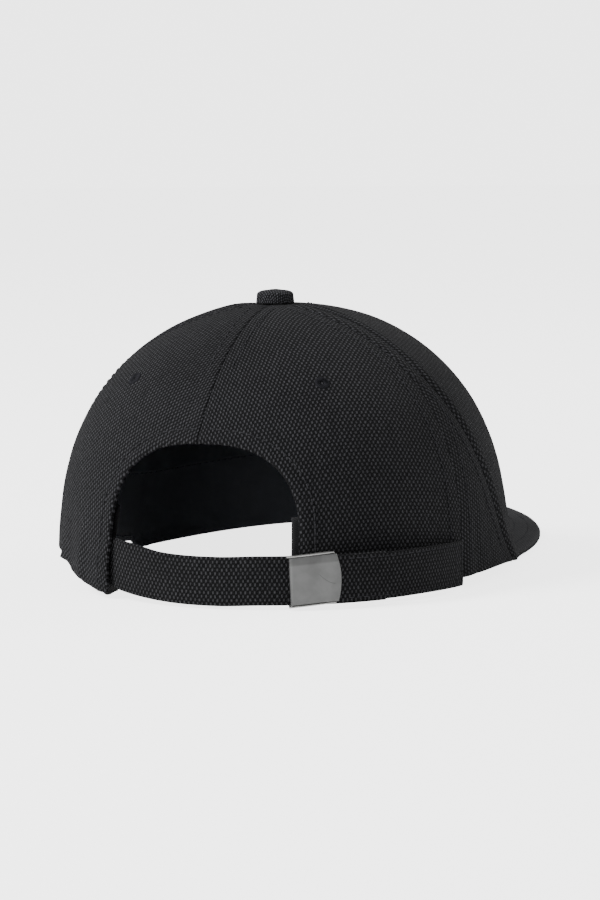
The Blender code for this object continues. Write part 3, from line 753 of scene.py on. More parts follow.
def cloth_relief(angle, climb, low_seam, high_seam, arch=FAR):
    """Rise of a panel's outer face over the crown's even shape, from its seams, edges and ease."""
    radius = ring_radius(angle, climb)
    near_button = smooth_step((radius - CALM_RADIUS) / CALM_FADE)
    turn = abs(angle)
    low, high = low_seam(climb), high_seam(climb)
    to_low = max(turn - low, 0.0) * math.radians(1.0) * radius
    to_high = max(high - turn, 0.0) * math.radians(1.0) * radius
    share = clamp((turn - low) / (high - low))
    rise = seam_relief(to_low, groove_depth(low_seam)) + seam_relief(to_high, groove_depth(high_seam))
    rise *= max(near_button, 0.3)
    if low_seam is front_seam:
        rise += RIDGE_RISE * bell(to_low - RIDGE_AT, RIDGE_WIDTH) * near_button
    point = crown_point(angle, climb)
    above = point.z - rim_height(angle)
    rise += rim_relief(above)
    crowning = PANEL_CROWNING * (math.sin(math.pi * share) - 0.6)
    rise += crowning * near_button * smooth_step(above / (25.0 * MM))
    rise += (noise.noise(point * 22.0) * EASE + noise.noise(point * 60.0) * FINE_EASE) * near_button
    rise += hem_creases(angle, above)
    return rise + arch_relief(arch)


class ClothPlan:
    """Flat pattern of a panel: how a place on the crown lies on the woven cloth."""

    FAN = 0.65  # how far the yarns spread like a fan: 1 is a full cone, and near 0 they run straight
    STEPS = 60

    def __init__(self, side, low_seam, high_seam, slant):
        self.side, self.low_seam, self.high_seam = side, low_seam, high_seam
        self.slant = math.radians(slant)
        middle = side * (low_seam(0.0) + high_seam(0.0)) / 2.0
        self.lengths = running_lengths([crown_point(middle, POLE_CLIMB * step / self.STEPS)
                                        for step in range(self.STEPS + 1)])

    def place(self, angle, climb):
        row = clamp(climb / POLE_CLIMB) * self.STEPS
        index = min(int(row), self.STEPS - 1)
        up = self.lengths[index] + (self.lengths[index + 1] - self.lengths[index]) * (row - index)
        from_top = self.lengths[-1] - up + 4.0 * MM
        middle = self.side * (self.low_seam(climb) + self.high_seam(climb)) / 2.0
        across = (angle - middle) * math.radians(1.0) * ring_radius(angle, climb)
        swing = self.FAN * across / from_top
        reach = from_top / self.FAN
        u = reach * math.sin(swing)
        v = (reach - from_top) - reach * math.cos(swing)
        turn_cos, turn_sin = math.cos(self.slant), math.sin(self.slant)
        return u * turn_cos - v * turn_sin, u * turn_sin + v * turn_cos


def panel_piece(name, places, plan, arches=None):
    """Panel from its grid of (angle, climb) places."""

    def place(row, column):
        angle, climb = places[row][column]
        arch = arches[row][column] if arches else FAR
        rise = cloth_relief(angle, climb, plan.low_seam, plan.high_seam, arch)
        outer, inner = crown_point(angle, climb, -rise), crown_point(angle, climb, PANEL_CLOTH)
        return outer, inner, plan.place(angle, climb)

    sheet_piece(name + "_cloth", len(places), len(places[0]), place, CANVAS, "cap", name)


def seam_inset(angle, climb):
    """Half of the gap between two panels, in degrees."""
    return math.degrees(SEAM_GAP / max(ring_radius(angle, climb), 3.0 * MM))


def plain_panel(name, side, low_seam, high_seam, slant, middle_columns):
    """Side or front panel: rows up the wall, columns from seam to seam."""
    stops = [[step / WALL_LENGTH for step in given] for given in (RIM_STOPS, POLE_STOPS)]
    places = []
    for share in spread(1.0, *stops, 44):
        climb = POLE_CLIMB * share ** ROW_CROWDING
        low, high = low_seam(climb), high_seam(climb)
        radius = ring_radius(side * (low + high) / 2.0, climb)
        inset = seam_inset(side * low, climb)
        width = math.radians(high - low - 2.0 * inset) * radius
        steps = spread(width, EDGE_STOPS, EDGE_STOPS, middle_columns)
        places.append([(side * (low + inset + math.degrees(step / radius)), climb) for step in steps])
    panel_piece(name, places, ClothPlan(side, low_seam, high_seam, slant))


def opening_power(side):
    return OPENING_POWER if side > 0.0 else OPENING_POWER_LEFT


def opening_path(side, steps=90):
    """Edge of the rear opening on one side, as (angle, climb) from the top middle down to the rim."""
    path = []
    foot = OPENING_MIDDLE - side * OPENING_HALF
    for step in range(steps + 1):
        turn = math.pi / 2.0 * (1.0 - step / steps)
        across, height = arch_place(turn, OPENING_HALF, OPENING_SPRING, OPENING_TOP, opening_power(side))
        x = OPENING_MIDDLE - side * across
        if side * x <= 0.0:
            path.append((x, height))
    top = path[0][1]
    if side < 0.0:
        share = 1.0 - abs(OPENING_MIDDLE / OPENING_HALF) ** OPENING_POWER
        top = OPENING_SPRING + (OPENING_TOP - OPENING_SPRING) * share ** (1.0 / OPENING_POWER)
    path.insert(0, (0.0, top))
    low = rim_height(angle_behind(foot, 4.0 * MM))
    spread_foot = FOOT_SPREAD[0 if side < 0.0 else 1]
    for step in range(1, 25):
        height = OPENING_SPRING + (low - OPENING_SPRING) * step / 24
        turned_out = spread_foot * smooth_step((OPENING_SPRING - height) / (10.0 * MM))
        corner = max(FOOT_CORNER - (height - low), 0.0)
        turned_out += FOOT_CORNER - math.sqrt(FOOT_CORNER ** 2 - corner ** 2)
        path.append((foot - side * turned_out, height))
    places = []
    for x, height in path:
        angle = angle_behind(x, height)
        places.append((angle, climb_at_height(angle, height)))
    places[0] = (0.0, places[0][1])
    places[-1] = (places[-1][0], 0.0)
    return places


def walk(path, distances):
    """Places at given distances along a path of (angle, climb)."""
    lengths = running_lengths([crown_point(angle, climb) for angle, climb in path])
    found = []
    index = 0
    for distance in distances:
        distance = min(distance, lengths[-1])
        while index < len(path) - 2 and lengths[index + 1] < distance:
            index += 1
        span = lengths[index + 1] - lengths[index]
        share = clamp((distance - lengths[index]) / span) if span > 0.0 else 0.0
        (a, c), (a2, c2) = path[index], path[index + 1]
        found.append((a + (a2 - a) * share, c + (c2 - c) * share))
    return found


def path_length(path):
    return running_lengths([crown_point(angle, climb) for angle, climb in path])[-1]


def back_panel(name, side, slant):
    """Back panel: rows follow the opening's edge out to the seams."""
    edge = opening_path(side)
    outside = [(side * back_seam(POLE_CLIMB) * step / 6, POLE_CLIMB) for step in range(6)]
    for step in range(81):
        climb = POLE_CLIMB * (1.0 - step / 80)
        outside.append((side * back_seam(climb), climb))
    ends = [walk(path, spread(path_length(path), EDGE_STOPS, RIM_STOPS, 34)) for path in (edge, outside)]
    rows, arches = [], []
    for (angle_in, climb_in), (angle_out, climb_out) in zip(*ends):
        across_in = angle_in * ring_radius(angle_in, climb_in)
        across_out = angle_out * ring_radius(angle_out, climb_out)
        chord = (crown_point(angle_in, climb_in) - crown_point(angle_out, climb_out)).length
        length = chord * ARC_OVER_CHORD
        arches.append(spread(length, ARCH_STOPS, EDGE_STOPS, 14))
        line = []
        for step in arches[-1]:
            share = step / length
            climb = climb_in + (climb_out - climb_in) * share
            across = across_in + (across_out - across_in) * share
            angle = angle_in + (angle_out - angle_in) * share
            for _ in range(4):
                angle = across / ring_radius(angle, climb)
            inset = seam_inset(angle, climb)
            line.append((side * min(max(abs(angle), inset), back_seam(climb) - inset), climb))
        rows.append(line)
    panel_piece(name, rows, ClothPlan(side, middle_back, back_seam, slant), arches)


def make_crown():
    back_panel("back_right_panel", 1.0, 0.0)
    back_panel("back_left_panel", -1.0, 12.0)
    for name, side in (("right", 1.0), ("left", -1.0)):
        plain_panel("side_" + name + "_panel", side, back_seam, front_seam, -14.0 * side, 8)
    for name, side in (("right", 1.0), ("left", -1.0)):
        plain_panel("front_" + name + "_panel", side, front_seam, middle_front, 8.0 * side, 22)


# Stitching of the crown

def crown_stitch_path(places, low_seam, high_seam, arch=FAR):
    path = []
    for angle, climb in places:
        rise = cloth_relief(angle, climb, low_seam, high_seam, arch)
        normal = crown_normal(angle, climb)
        path.append((crown_point(angle, climb, -rise) + normal * STITCH_LIFT, normal))
    return path


def make_crown_stitching():
    """Topstitching on both sides of each seam and round the rear opening."""
    shape = bmesh.new()
    rows = 60
    seams = [
        (middle_back, middle_back, back_seam, 1.0, 0.62),
        (back_seam, middle_back, back_seam, -1.0, 0.03),
        (back_seam, back_seam, front_seam, 1.0, 0.03),
        (front_seam, back_seam, front_seam, -1.0, 0.03),
        (front_seam, front_seam, middle_front, 1.0, 0.03),
        (middle_front, front_seam, middle_front, -1.0, 0.10),
    ]
    for seam, low_seam, high_seam, toward, start in seams:
        for side in (1.0, -1.0):
            places = []
            for row in range(rows + 1):
                climb = POLE_CLIMB * (start + (STITCHED_TO - start) * row / rows) ** ROW_CROWDING
                step = math.degrees(TOPSTITCH / ring_radius(side * seam(climb), climb))
                places.append((side * (seam(climb) + toward * step), climb))
            sew(shape, crown_stitch_path(places, low_seam, high_seam))
    for side in (1.0, -1.0):
        edge = opening_path(side)
        places = []
        for index, (angle, climb) in enumerate(edge[:-2]):
            before = crown_point(*edge[max(index - 1, 0)])
            after = crown_point(*edge[index + 1])
            away = crown_normal(angle, climb).cross((after - before).normalized()) * side
            goal = crown_point(angle, climb) + away * TOPSTITCH
            angle_goal = angle_behind(goal.x - CROWN_CENTRE.x, goal.z)
            if side * angle_goal > 0.6:
                places.append((angle_goal, climb_at_height(angle_goal, goal.z)))
        sew(shape, crown_stitch_path(places, middle_back, back_seam, TOPSTITCH))
    make_piece("crown_topstitching", finish_mesh("crown_topstitching", shape), THREAD, "cap")


# Eyelets, button, tapes and facing

EYELETS = {
    "eyelet_back_right": (40.0, 82.6 * MM),
    "eyelet_back_left": (-40.0, 82.6 * MM),
    "eyelet_front_right": (141.0, 85.0 * MM),
    "eyelet_front_left": (-141.0, 85.0 * MM),
}
EYELET_HOLE = 0.75 * MM
EYELET_REACH = 3.0 * MM
EYELET_LOOPS = 26
EYELET_RIPPLE = 0.13 * MM
EYELET_RAGGED = 0.22 * MM
EYELET_FACE = 0.55 * MM  # rise of the thread over its middle
EYELET_ROOT = 1.5 * MM
EYELET_LIFT = 0.25 * MM


def make_eyelet(name):
    """Embroidered eyelet: loops of thread lie side by side round a small hole."""
    angle, height = EYELETS[name]
    climb = climb_at_height(angle, height)
    place = crown_point(angle, climb)
    facing = crown_normal(angle, climb).to_track_quat("Z", "Y").to_matrix()
    shape = bmesh.new()
    around = EYELET_LOOPS * 4
    rings = []
    for step, (x, y) in enumerate(circle(around)):
        thread_rise = EYELET_RIPPLE * math.cos(EYELET_LOOPS * (2.0 * math.pi * step / around))
        ragged = EYELET_RAGGED * noise.noise(Vector((x, y, angle * 0.1)) * 7.0)
        middle = (EYELET_HOLE + EYELET_REACH + ragged) / 2.0
        half = (EYELET_REACH + ragged - EYELET_HOLE) / 2.0
        ring = []
        for out, up in circle(12):
            rise = (EYELET_FACE + thread_rise if up >= 0.0 else EYELET_ROOT) * up + EYELET_LIFT
            radius = middle + half * out
            ring.append(shape.verts.new(place + facing @ Vector((radius * x, radius * y, rise))))
        rings.append(ring)
    for first, second in zip(rings, rings[1:] + rings[:1]):
        bridge(shape, first, second)
    make_piece(name + "_embroidery", finish_mesh(name, shape, 80.0), EYELET_THREAD, "cap", [name])


BUTTON_RADIUS = 7.9 * MM
BUTTON_HEIGHT = 5.6 * MM
BUTTON_PLEATS = 34
BUTTON_DRAW = 1.4  # the cloth is drawn tight, so its yarns lie closer


def button_profile():
    """Radius and height pairs, from the tucked foot up the full side and over the low dome."""
    profile = [(0.6, -0.2 * MM), (0.97, -0.3 * MM), (1.0, 0.25 * MM), (0.99, BUTTON_HEIGHT * 0.2),
               (0.972, BUTTON_HEIGHT * 0.42)]
    steps = 14
    for step in range(steps):
        turn = math.pi / 2.0 * step / steps
        profile.append((0.42 + 0.54 * math.cos(turn), BUTTON_HEIGHT * (0.60 + 0.33 * math.sin(turn))))
    for step in range(6):
        share = step / 6
        profile.append((0.42 * (1.0 - share), BUTTON_HEIGHT * (0.93 + 0.07 * share * (2.0 - share))))
    return [(BUTTON_RADIUS * radius, height) for radius, height in profile]


def make_button():
    """Cloth-covered button: a low dome with a full side that tucks under in small pleats."""
    profile = button_profile()
    around = BUTTON_PLEATS * 6
    shape = bmesh.new()
    cloth = shape.loops.layers.uv.new("cloth")
    middle = CROWN_CENTRE + Vector((0.0, BUTTON_BACK, CROWN_TOP + 0.3 * MM))
    lengths = running_lengths([Vector(place) for place in profile + [(0.0, BUTTON_HEIGHT)]])
    rings = []
    for radius, height in profile:
        low = smooth_step(1.3 - height / (0.8 * BUTTON_HEIGHT))
        ring = []
        for step, (x, y) in enumerate(circle(around)):
            pleat = 1.0 + math.cos(BUTTON_PLEATS * (2.0 * math.pi * step / around))
            reach = radius * (1.0 - 0.014 * pleat * low)
            ring.append(shape.verts.new(middle + Vector((reach * x, reach * y, height))))
        rings.append(ring)
    top = shape.verts.new(middle + UP * BUTTON_HEIGHT)
    foot = shape.verts.new(middle + UP * (0.5 * MM))

    def lay(face, places):
        """Cloth places for a face's (row, step) corners."""
        for loop, (row, step) in zip(face.loops, places):
            reach = lengths[-1] - lengths[row]
            turn = 2.0 * math.pi * step / around
            loop[cloth].uv = (BUTTON_DRAW * reach * math.cos(turn), BUTTON_DRAW * reach * math.sin(turn))

    for row, (lower, upper) in enumerate(zip(rings, rings[1:])):
        for step in range(around):
            after = (step + 1) % around
            face = shape.faces.new((lower[step], lower[after], upper[after], upper[step]))
            lay(face, ((row, step), (row, step + 1), (row + 1, step + 1), (row + 1, step)))
    last = len(rings) - 1
    for step in range(around):
        after = (step + 1) % around
        lay(shape.faces.new((rings[last][step], rings[last][after], top)),
            ((last, step), (last, step + 1), (last + 1, step)))
        shape.faces.new((rings[0][after], rings[0][step], foot))
    mesh = finish_mesh("button_cloth", shape, 80.0)
    make_piece("button_cloth", mesh, BUTTON_CANVAS, "cap", ["button_cover"])


def tape_piece(name, node, places, width, material):
    """Tape that lies inside the crown, with rounded edges, from its grid of (angle, climb) places."""
    lengths = running_lengths([crown_point(*line[len(line) // 2]) for line in places])
    columns = len(places[0])

    def place(row, column):
        angle, climb = places[row][column]
        share = column / (columns - 1)
        thin = TAPE_CLOTH * (0.5 - 0.5 * full_edge(abs(2.0 * share - 1.0), 6))
        return (crown_point(angle, climb, TAPE_DEPTH + thin),
                crown_point(angle, climb, TAPE_DEPTH + TAPE_CLOTH - thin * 0.9),
                (width * share, lengths[row]))

    sheet_piece(name, len(places), columns, place, material, "cap", node)


def make_tapes():
    """Tapes over the seams' raw edges, each with two rows of stitches."""
    tapes = {
        "seam_tape_middle_back": (middle_back, 1.0, 0.60, 0.88),
        "seam_tape_middle_front": (middle_front, 1.0, 0.12, 0.88),
        "seam_tape_back_right": (back_seam, 1.0, 0.12, 0.50),
        "seam_tape_back_left": (back_seam, -1.0, 0.12, 0.50),
        "seam_tape_front_right": (front_seam, 1.0, 0.12, 0.86),
        "seam_tape_front_left": (front_seam, -1.0, 0.12, 0.86),
    }
    stitches = bmesh.new()
    for node, (seam, side, start, end) in tapes.items():
        rows = []
        edges = ([], [])
        for row in range(41):
            climb = POLE_CLIMB * (start + (end - start) * row / 40) ** 1.3
            middle = side * seam(climb)
            half = math.degrees(TAPE_WIDTH / 2.0 / ring_radius(middle, climb))
            rows.append([(middle + half * (2.0 * column / 10 - 1.0), climb) for column in range(11)])
            for path, toward in zip(edges, (-0.72, 0.72)):
                angle = middle + half * toward
                normal = -crown_normal(angle, climb)
                point = crown_point(angle, climb, TAPE_DEPTH + TAPE_CLOTH)
                path.append((point + normal * (0.1 * MM), normal))
        tape_piece(node + "_twill", node, rows, TAPE_WIDTH, TAPE)
        for path in edges:
            sew(stitches, path[1:-1])
    make_piece("tape_stitching", finish_mesh("tape_stitching", stitches), THREAD, "cap")


def make_facing():
    """Tape that covers the raw edge inside the rear opening."""
    rows = []
    steps = 96
    for step in range(steps + 1):
        turn = FACING_CLEAR + (math.pi - 2.0 * FACING_CLEAR) * (step / steps)
        power = opening_power(-math.cos(turn))
        line = []
        for column in range(9):
            out = FACING_INSET + (FACING_WIDTH - FACING_INSET) * column / 8
            x, height = arch_place(turn, OPENING_HALF + out, OPENING_SPRING, OPENING_TOP + out, power)
            angle = angle_behind(OPENING_MIDDLE + x, height, TAPE_DEPTH)
            line.append((angle, climb_at_height(angle, height, TAPE_DEPTH)))
        rows.append(line)
    tape_piece("opening_facing_twill", "opening_facing", rows, FACING_WIDTH, LIT_FACING_TAPE)


# Visor

VISOR_STITCH_ROWS = [(5.5 + 6.0 * row) * MM for row in range(7)]
VISOR_STITCH_SINK = 0.06 * MM
VISOR_STITCH_DEPTH = 0.18 * MM  # below the cloth's full face
VISOR_HEM = 1.9 * MM  # how far in the rounded edge reaches
VISOR_ROOT = 6.0 * MM
VISOR_GAP = 0.12 * MM  # from the middle layer to each cloth
VISOR_CLOTH = 0.7 * MM
VISOR_ROW_CLEAR = 1.03  # the rows start this far outside the crown's plan
VISOR_ROW_BACK = -40.0 * MM
VISOR_LIP = 0.35 * MM  # the cloth's extra half thickness at its very edge
VISOR_EASE = 0.14 * MM


def visor_reach(across):
    return VISOR_REACH * math.sqrt(max(1.0 + VISOR_CORNER_WIDTH - abs(across) ** VISOR_POWER, 0.0))


def visor_point(across, out, depth=0.0):
    """Point of the visor's seat surface: across -1 to 1 between its corners, out 0 to 1."""
    x, y = rim_plan(180.0 + across * (180.0 - VISOR_CORNER), PANEL_CLOTH)
    x += math.copysign(VISOR_BULGE, x) * math.sin(math.pi * abs(across)) * out
    y -= visor_reach(across) * out
    return CROWN_CENTRE + Vector((x, y, visor_height(x, y) - depth))


def visor_edge(steps=240):
    return [visor_point(-1.0 + 2.0 * step / steps, 1.0) for step in range(steps + 1)]


def distance_to_path(point, path):
    """Distance in plan."""
    best = FAR
    for before, after in zip(path, path[1:]):
        across, along = after.x - before.x, after.y - before.y
        span = across * across + along * along
        share = ((point.x - before.x) * across + (point.y - before.y) * along) / span if span > 0.0 else 0.0
        share = clamp(share)
        x, y = before.x + across * share - point.x, before.y + along * share - point.y
        best = min(best, x * x + y * y)
    return math.sqrt(best)


def visor_groove(distance):
    return sum(VISOR_STITCH_SINK * bell(distance - row, STITCH_DIP_WIDTH) for row in VISOR_STITCH_ROWS)


def make_visor_cloths():
    """Top and under cloths over the board, closed at a full hem, with sunk rows of stitching."""
    edge = visor_edge(120)
    columns, rows = 150, 46
    grid = []
    for row in range(rows + 1):
        line = []
        for column in range(columns + 1):
            share = -1.0 + 2.0 * column / columns
            across = math.sin(share * math.pi / 2.0) * 0.35 + share * 0.65
            point = visor_point(across, row / rows)
            from_root = visor_reach(across) * row / rows
            distance = distance_to_path(point, edge) + VISOR_HEM * (1.0 - smooth_step(from_root / VISOR_ROOT))
            line.append((point, distance))
        grid.append(line)
    middle = VISOR_SINK + VISOR_THICK / 2.0
    for name, side in (("visor_top_cloth", 1.0), ("visor_under_cloth", -1.0)):

        def place(row, column):
            point, distance = grid[row][column]
            full = full_edge(1.0 - min(distance / VISOR_HEM, 1.0), 2)
            half = VISOR_GAP + VISOR_LIP * (1.0 - full) + (VISOR_THICK / 2.0 - VISOR_GAP) * full
            half -= visor_groove(distance) * smooth_step(distance / (3.0 * MM))
            half += VISOR_EASE * noise.noise(point * 70.0) * full
            thin = max(half - VISOR_CLOTH, VISOR_GAP)
            return (point - UP * (middle - side * half), point - UP * (middle - side * thin),
                    (point.x, point.y))

        sheet_piece(name + "_canvas", rows + 1, columns + 1, place, VISOR_SHEEN_CANVAS, "cap", name, 70.0)
    make_visor_stitching(edge, middle)


def visor_row(offset, edge):
    """A row of stitching at one distance from the visor's edge, in front of the crown's rim."""
    centre = sum(edge, Vector()) / len(edge)
    row = []
    for before, here, after in zip(edge, edge[1:], edge[2:]):
        along = (after - before).normalized()
        inward = Vector((-along.y, along.x, 0.0)).normalized()
        if inward.dot(centre - here) < 0.0:
            inward = -inward
        point = here + inward * offset
        x, y = point.x - CROWN_CENTRE.x, point.y - CROWN_CENTRE.y
        across, forward = abs(x / HALF_WIDTH), abs(y / (HALF_LENGTH + FRONT_FLARE))
        outside = across ** PLAN_POWER_FRONT + forward ** PLAN_POWER_FRONT
        if outside > VISOR_ROW_CLEAR and y < VISOR_ROW_BACK:
            row.append(CROWN_CENTRE + Vector((x, y, visor_height(x, y))))
    return row


def make_visor_stitching(edge, middle):
    lift = VISOR_THICK / 2.0 - VISOR_STITCH_DEPTH
    shape = bmesh.new()
    for offset in VISOR_STITCH_ROWS:
        row = visor_row(offset, edge)
        for side in (1.0, -1.0):
            sew(shape, [(point - UP * (middle - side * lift), UP * side) for point in row])
    make_piece("visor_stitching", finish_mesh("visor_stitching", shape), VISOR_THREAD, "cap")


# Sweatband

SWEATBAND_DEPTH = 2.8 * MM
SWEATBAND_CLOTH = 1.2 * MM
SWEATBAND_TOP = 32.2 * MM  # above the rim
SWEATBAND_ENDS = (28.2, 331.0)
STRAP_POCKET = 4.6 * MM
BAND_ROW = 2.6 * MM  # its stitched rows, from each edge
BAND_FOOT_LEFT = (110.4, -0.9 * MM)  # where it drops to the visor, and the lowest it goes
BAND_FOOT_RIGHT = (112.6, 0.05 * MM)
BAND_VISOR_DROP = 4.5 * MM
BAND_RIM_LAP = 0.1 * MM
BAND_HEM_DROP = 0.9 * MM
BAND_EDGE_POWER = 14  # how square the folded edges are
BAND_SUNK = 0.28 * MM  # how far a stitched row is drawn in
BAND_SUNK_WIDTH = 0.8 * MM
BAND_PUCKER = 0.16 * MM
BAND_PUCKER_LENGTH = 4.6 * MM
BAND_LOOSE = 0.35 * MM
BINDING_WIDTH = 3.2  # degrees
BINDING_LAP = 0.2  # degrees past the sweatband's end
POCKET_START = -54.0
POCKET_LENGTH = 14.0


def sweatband_depth(angle):
    """Depth below the crown's outer face, deeper where the strap's root is sewn in."""
    turn = from_back(angle)
    share = (turn - POCKET_START) / POCKET_LENGTH if turn < 0.0 else 0.0
    return SWEATBAND_DEPTH + STRAP_POCKET * smooth_step(share)


def band_at_height(angle, height, depth):
    """Point inside the crown's wall, also a little below its rim."""
    point = crown_at_height(angle, max(height, rim_height(angle)), depth)
    point.z = height
    return point


def sweatband_foot(angle):
    """The band's lower edge wraps under the seam: just below the rim, and down to the visor's underside."""
    turn = from_back(angle)
    start, lowest = BAND_FOOT_LEFT if turn < 0.0 else BAND_FOOT_RIGHT
    at_visor = smooth_step((abs(turn) - start) / 3.4) - 0.25 * smooth_step((abs(turn) - start - 4.0) / 4.0)
    hem = BAND_HEM_DROP * smooth_step((abs(turn) - 100.0) / 8.0)
    return max(BAND_RIM_LAP - hem - BAND_VISOR_DROP * at_visor, lowest - rim_height(angle))


def make_band_binding():
    """Tape folded over each end of the sweatband."""
    for name, end, toward in (("right", SWEATBAND_ENDS[0], 1.0), ("left", SWEATBAND_ENDS[1], -1.0)):

        def place(row, column):
            up, share = row / 24, column / 10
            angle = end + toward * (BINDING_WIDTH * share - BINDING_LAP)
            thick = min(full_edge(abs(2.0 * up - 1.0), BAND_EDGE_POWER),
                        full_edge(max(1.0 - share / 0.2, 0.0), 2))
            middle = sweatband_depth(angle) + SWEATBAND_CLOTH / 2.0
            half = (SWEATBAND_CLOTH / 2.0 + 0.35 * MM) * (0.25 + 0.75 * thick)
            height = rim_height(angle) + 0.2 * MM + (SWEATBAND_TOP + 0.3 * MM) * up
            return (band_at_height(angle, height, middle - half),
                    band_at_height(angle, height, middle + half),
                    (BINDING_WIDTH * share * MM, height))

        sheet_piece("sweatband_binding_" + name, 25, 11, place, TAPE, "cap", sharp=70.0)


def make_sweatband():
    """Folded band inside the rim: two full edges, a stitched row near each and soft puckers between them."""
    columns, rows = 300, 16
    start, end = SWEATBAND_ENDS
    angles = [start + (end - start) * column / columns for column in range(columns + 1)]
    feet = [rim_height(angle) + sweatband_foot(angle) for angle in angles]
    talls = [SWEATBAND_TOP - sweatband_foot(angle) for angle in angles]
    bases = [band_at_height(angle, foot, sweatband_depth(angle)) for angle, foot in zip(angles, feet)]
    lengths = running_lengths(bases)

    def place(row, column):
        angle, base, tall = angles[column], bases[column], talls[column]
        ends = smooth_step(min(column, columns - column) / 3.0)
        share = eased(row, rows)
        height = feet[column] + tall * share
        full = full_edge(abs(2.0 * share - 1.0), BAND_EDGE_POWER) * (0.4 + 0.6 * ends)
        from_edges = (tall * share, tall * (1.0 - share))
        sunk = sum(BAND_SUNK * bell(away - BAND_ROW, BAND_SUNK_WIDTH) for away in from_edges)
        wander = 1.7 * noise.noise(base * 35.0)
        pucker = BAND_PUCKER * math.sin(lengths[column] / BAND_PUCKER_LENGTH + wander)
        soft = BAND_LOOSE * noise.noise(Vector((base.x, base.y, height * 0.4)) * 40.0)
        loose = (BAND_LOOSE + soft) * math.sin(math.pi * share)
        depth = sweatband_depth(angle)
        near = depth + SWEATBAND_CLOTH * (0.5 - 0.5 * full)
        far = depth + SWEATBAND_CLOTH * (0.5 + 0.5 * full)
        far += (loose + pucker * share * 0.5 - sunk * full) * ends
        return (band_at_height(angle, height, near), band_at_height(angle, height, far),
                (lengths[column], height - feet[column]))

    sheet_piece("sweatband_twill", rows + 1, columns + 1, place, BAND_TWILL, "cap",
                "sweatband", 70.0)
    make_band_binding()
    stitches = bmesh.new()
    low_row, high_row = [], []
    for angle, foot, tall in zip(angles, feet, talls):
        for path, away in ((low_row, BAND_ROW), (high_row, tall - BAND_ROW)):
            normal = -crown_normal(angle, climb_at_height(angle, foot + away))
            point = crown_at_height(angle, foot + away, sweatband_depth(angle) + SWEATBAND_CLOTH)
            path.append((point + normal * (0.05 * MM), normal))
    sew(stitches, low_row[3:-3])
    sew(stitches, high_row[3:-3])
    mesh = finish_mesh("sweatband_stitching", stitches)
    make_piece("sweatband_stitching", mesh, BAND_THREAD, "cap")


# Strap and band

STRAP_ENDS = (-41.0, 55.0)
STRAP_CLOTH = 1.8 * MM
STRAP_HEIGHT = 19.0 * MM
STRAP_LOWEST = 0.12 * MM
STRAP_SWEEP = 0.00286 * MM  # rise for each square degree towards its root
STRAP_TAIL_RISE = 0.5 * MM
STRAP_ROOT_TALLER = 0.7 * MM
STRAP_SWELL = 0.45 * MM  # and a little more where it leaves the panel
STRAP_ROOT_TAB = (-46.0, -32.6)
TAB_RADIUS = 75.9 * MM
TAB_TOP = 6.0 * MM
TAB_FOOT = 2.4 * MM
TAB_HANG = 3.4 * MM
TAB_HALF = 0.5 * MM
BAR_AT = (20.4 * MM, 80.7 * MM)
BAND_CLOTH = 0.9 * MM
BAND_START = 40.0
BAND_END = (88.0, 81.4 * MM)
BAND_RETURN = 6.0 * MM
BAND_HEIGHT = 18.1 * MM
BAND_LOWEST = 0.95 * MM
BAND_BOW = 0.85 * MM
BAND_DRAWN_UP = 0.85 * MM
BAND_ROWS_IN = 1.5 * MM
BAND_CROSS_ROWS = (1.6 * MM, 7.0 * MM)
ROD_RADIUS = 0.5 * MM


def strap_point(angle, radius, height=0.0):
    radians = math.radians(angle)
    return STRAP_CENTRE + Vector((-radius * math.sin(radians), radius * math.cos(radians), height))


def clasp_angle(along):
    return CLASP_START + math.degrees(along / CLASP_FACE)


def clasp_point(along, radius, height=0.0):
    """Point on the clasp, which leans up a little towards its free end."""
    return strap_point(clasp_angle(along), radius, height + CLASP_LEAN * along)


def strap_foot(angle):
    """Height of the strap's lower edge: it hangs lowest in the middle and climbs to its sewn root."""
    rise = STRAP_SWEEP * max(2.0 - angle, 0.0) ** 2
    return STRAP_LOWEST + rise + STRAP_TAIL_RISE * smooth_step((angle - 5.0) / 13.0)


def webbing_piece(name, path, feet, tops, cloth, body, node, waves=0.12 * MM):
    """Folded strip of canvas along a path of points, with full edges and a little ripple."""
    rows = 20
    lengths = running_lengths(path)
    normals = []
    for index in range(len(path)):
        along = (path[min(index + 1, len(path) - 1)] - path[max(index - 1, 0)]).normalized()
        normals.append(Vector((-along.y, along.x, 0.0)))

    def place(row, index):
        share = eased(row, rows)
        point, normal = path[index], normals[index]
        ripple = waves * noise.noise(Vector((point.x, point.y, share * 0.012)) * 90.0)
        half = cloth / 2.0 * (0.18 + 0.82 * full_edge(abs(2.0 * share - 1.0), 12))
        height = tops[index] - feet[index]
        base = point + UP * (feet[index] + height * share)
        return (base + normal * (half + ripple), base - normal * (half - ripple),
                (lengths[index], height * share))

    sheet_piece(name, rows + 1, len(path), place, WEBBING, body, node, 75.0)


def make_strap():
    """Strap, a little taller near its sewn root."""
    steps = 170
    start, end = STRAP_ENDS
    angles = [end + (start - end) * step / steps for step in range(steps + 1)]
    path = [strap_point(angle, STRAP_RADIUS) for angle in angles]
    feet = [strap_foot(angle) for angle in angles]
    tops = [foot + STRAP_HEIGHT + STRAP_ROOT_TALLER * smooth_step((-12.0 - angle) / 12.0)
            + STRAP_SWELL * bell(angle + 21.0, 7.0) for foot, angle in zip(feet, angles)]
    webbing_piece("strap_canvas", path, feet, tops, STRAP_CLOTH, "strap", "rear_strap")


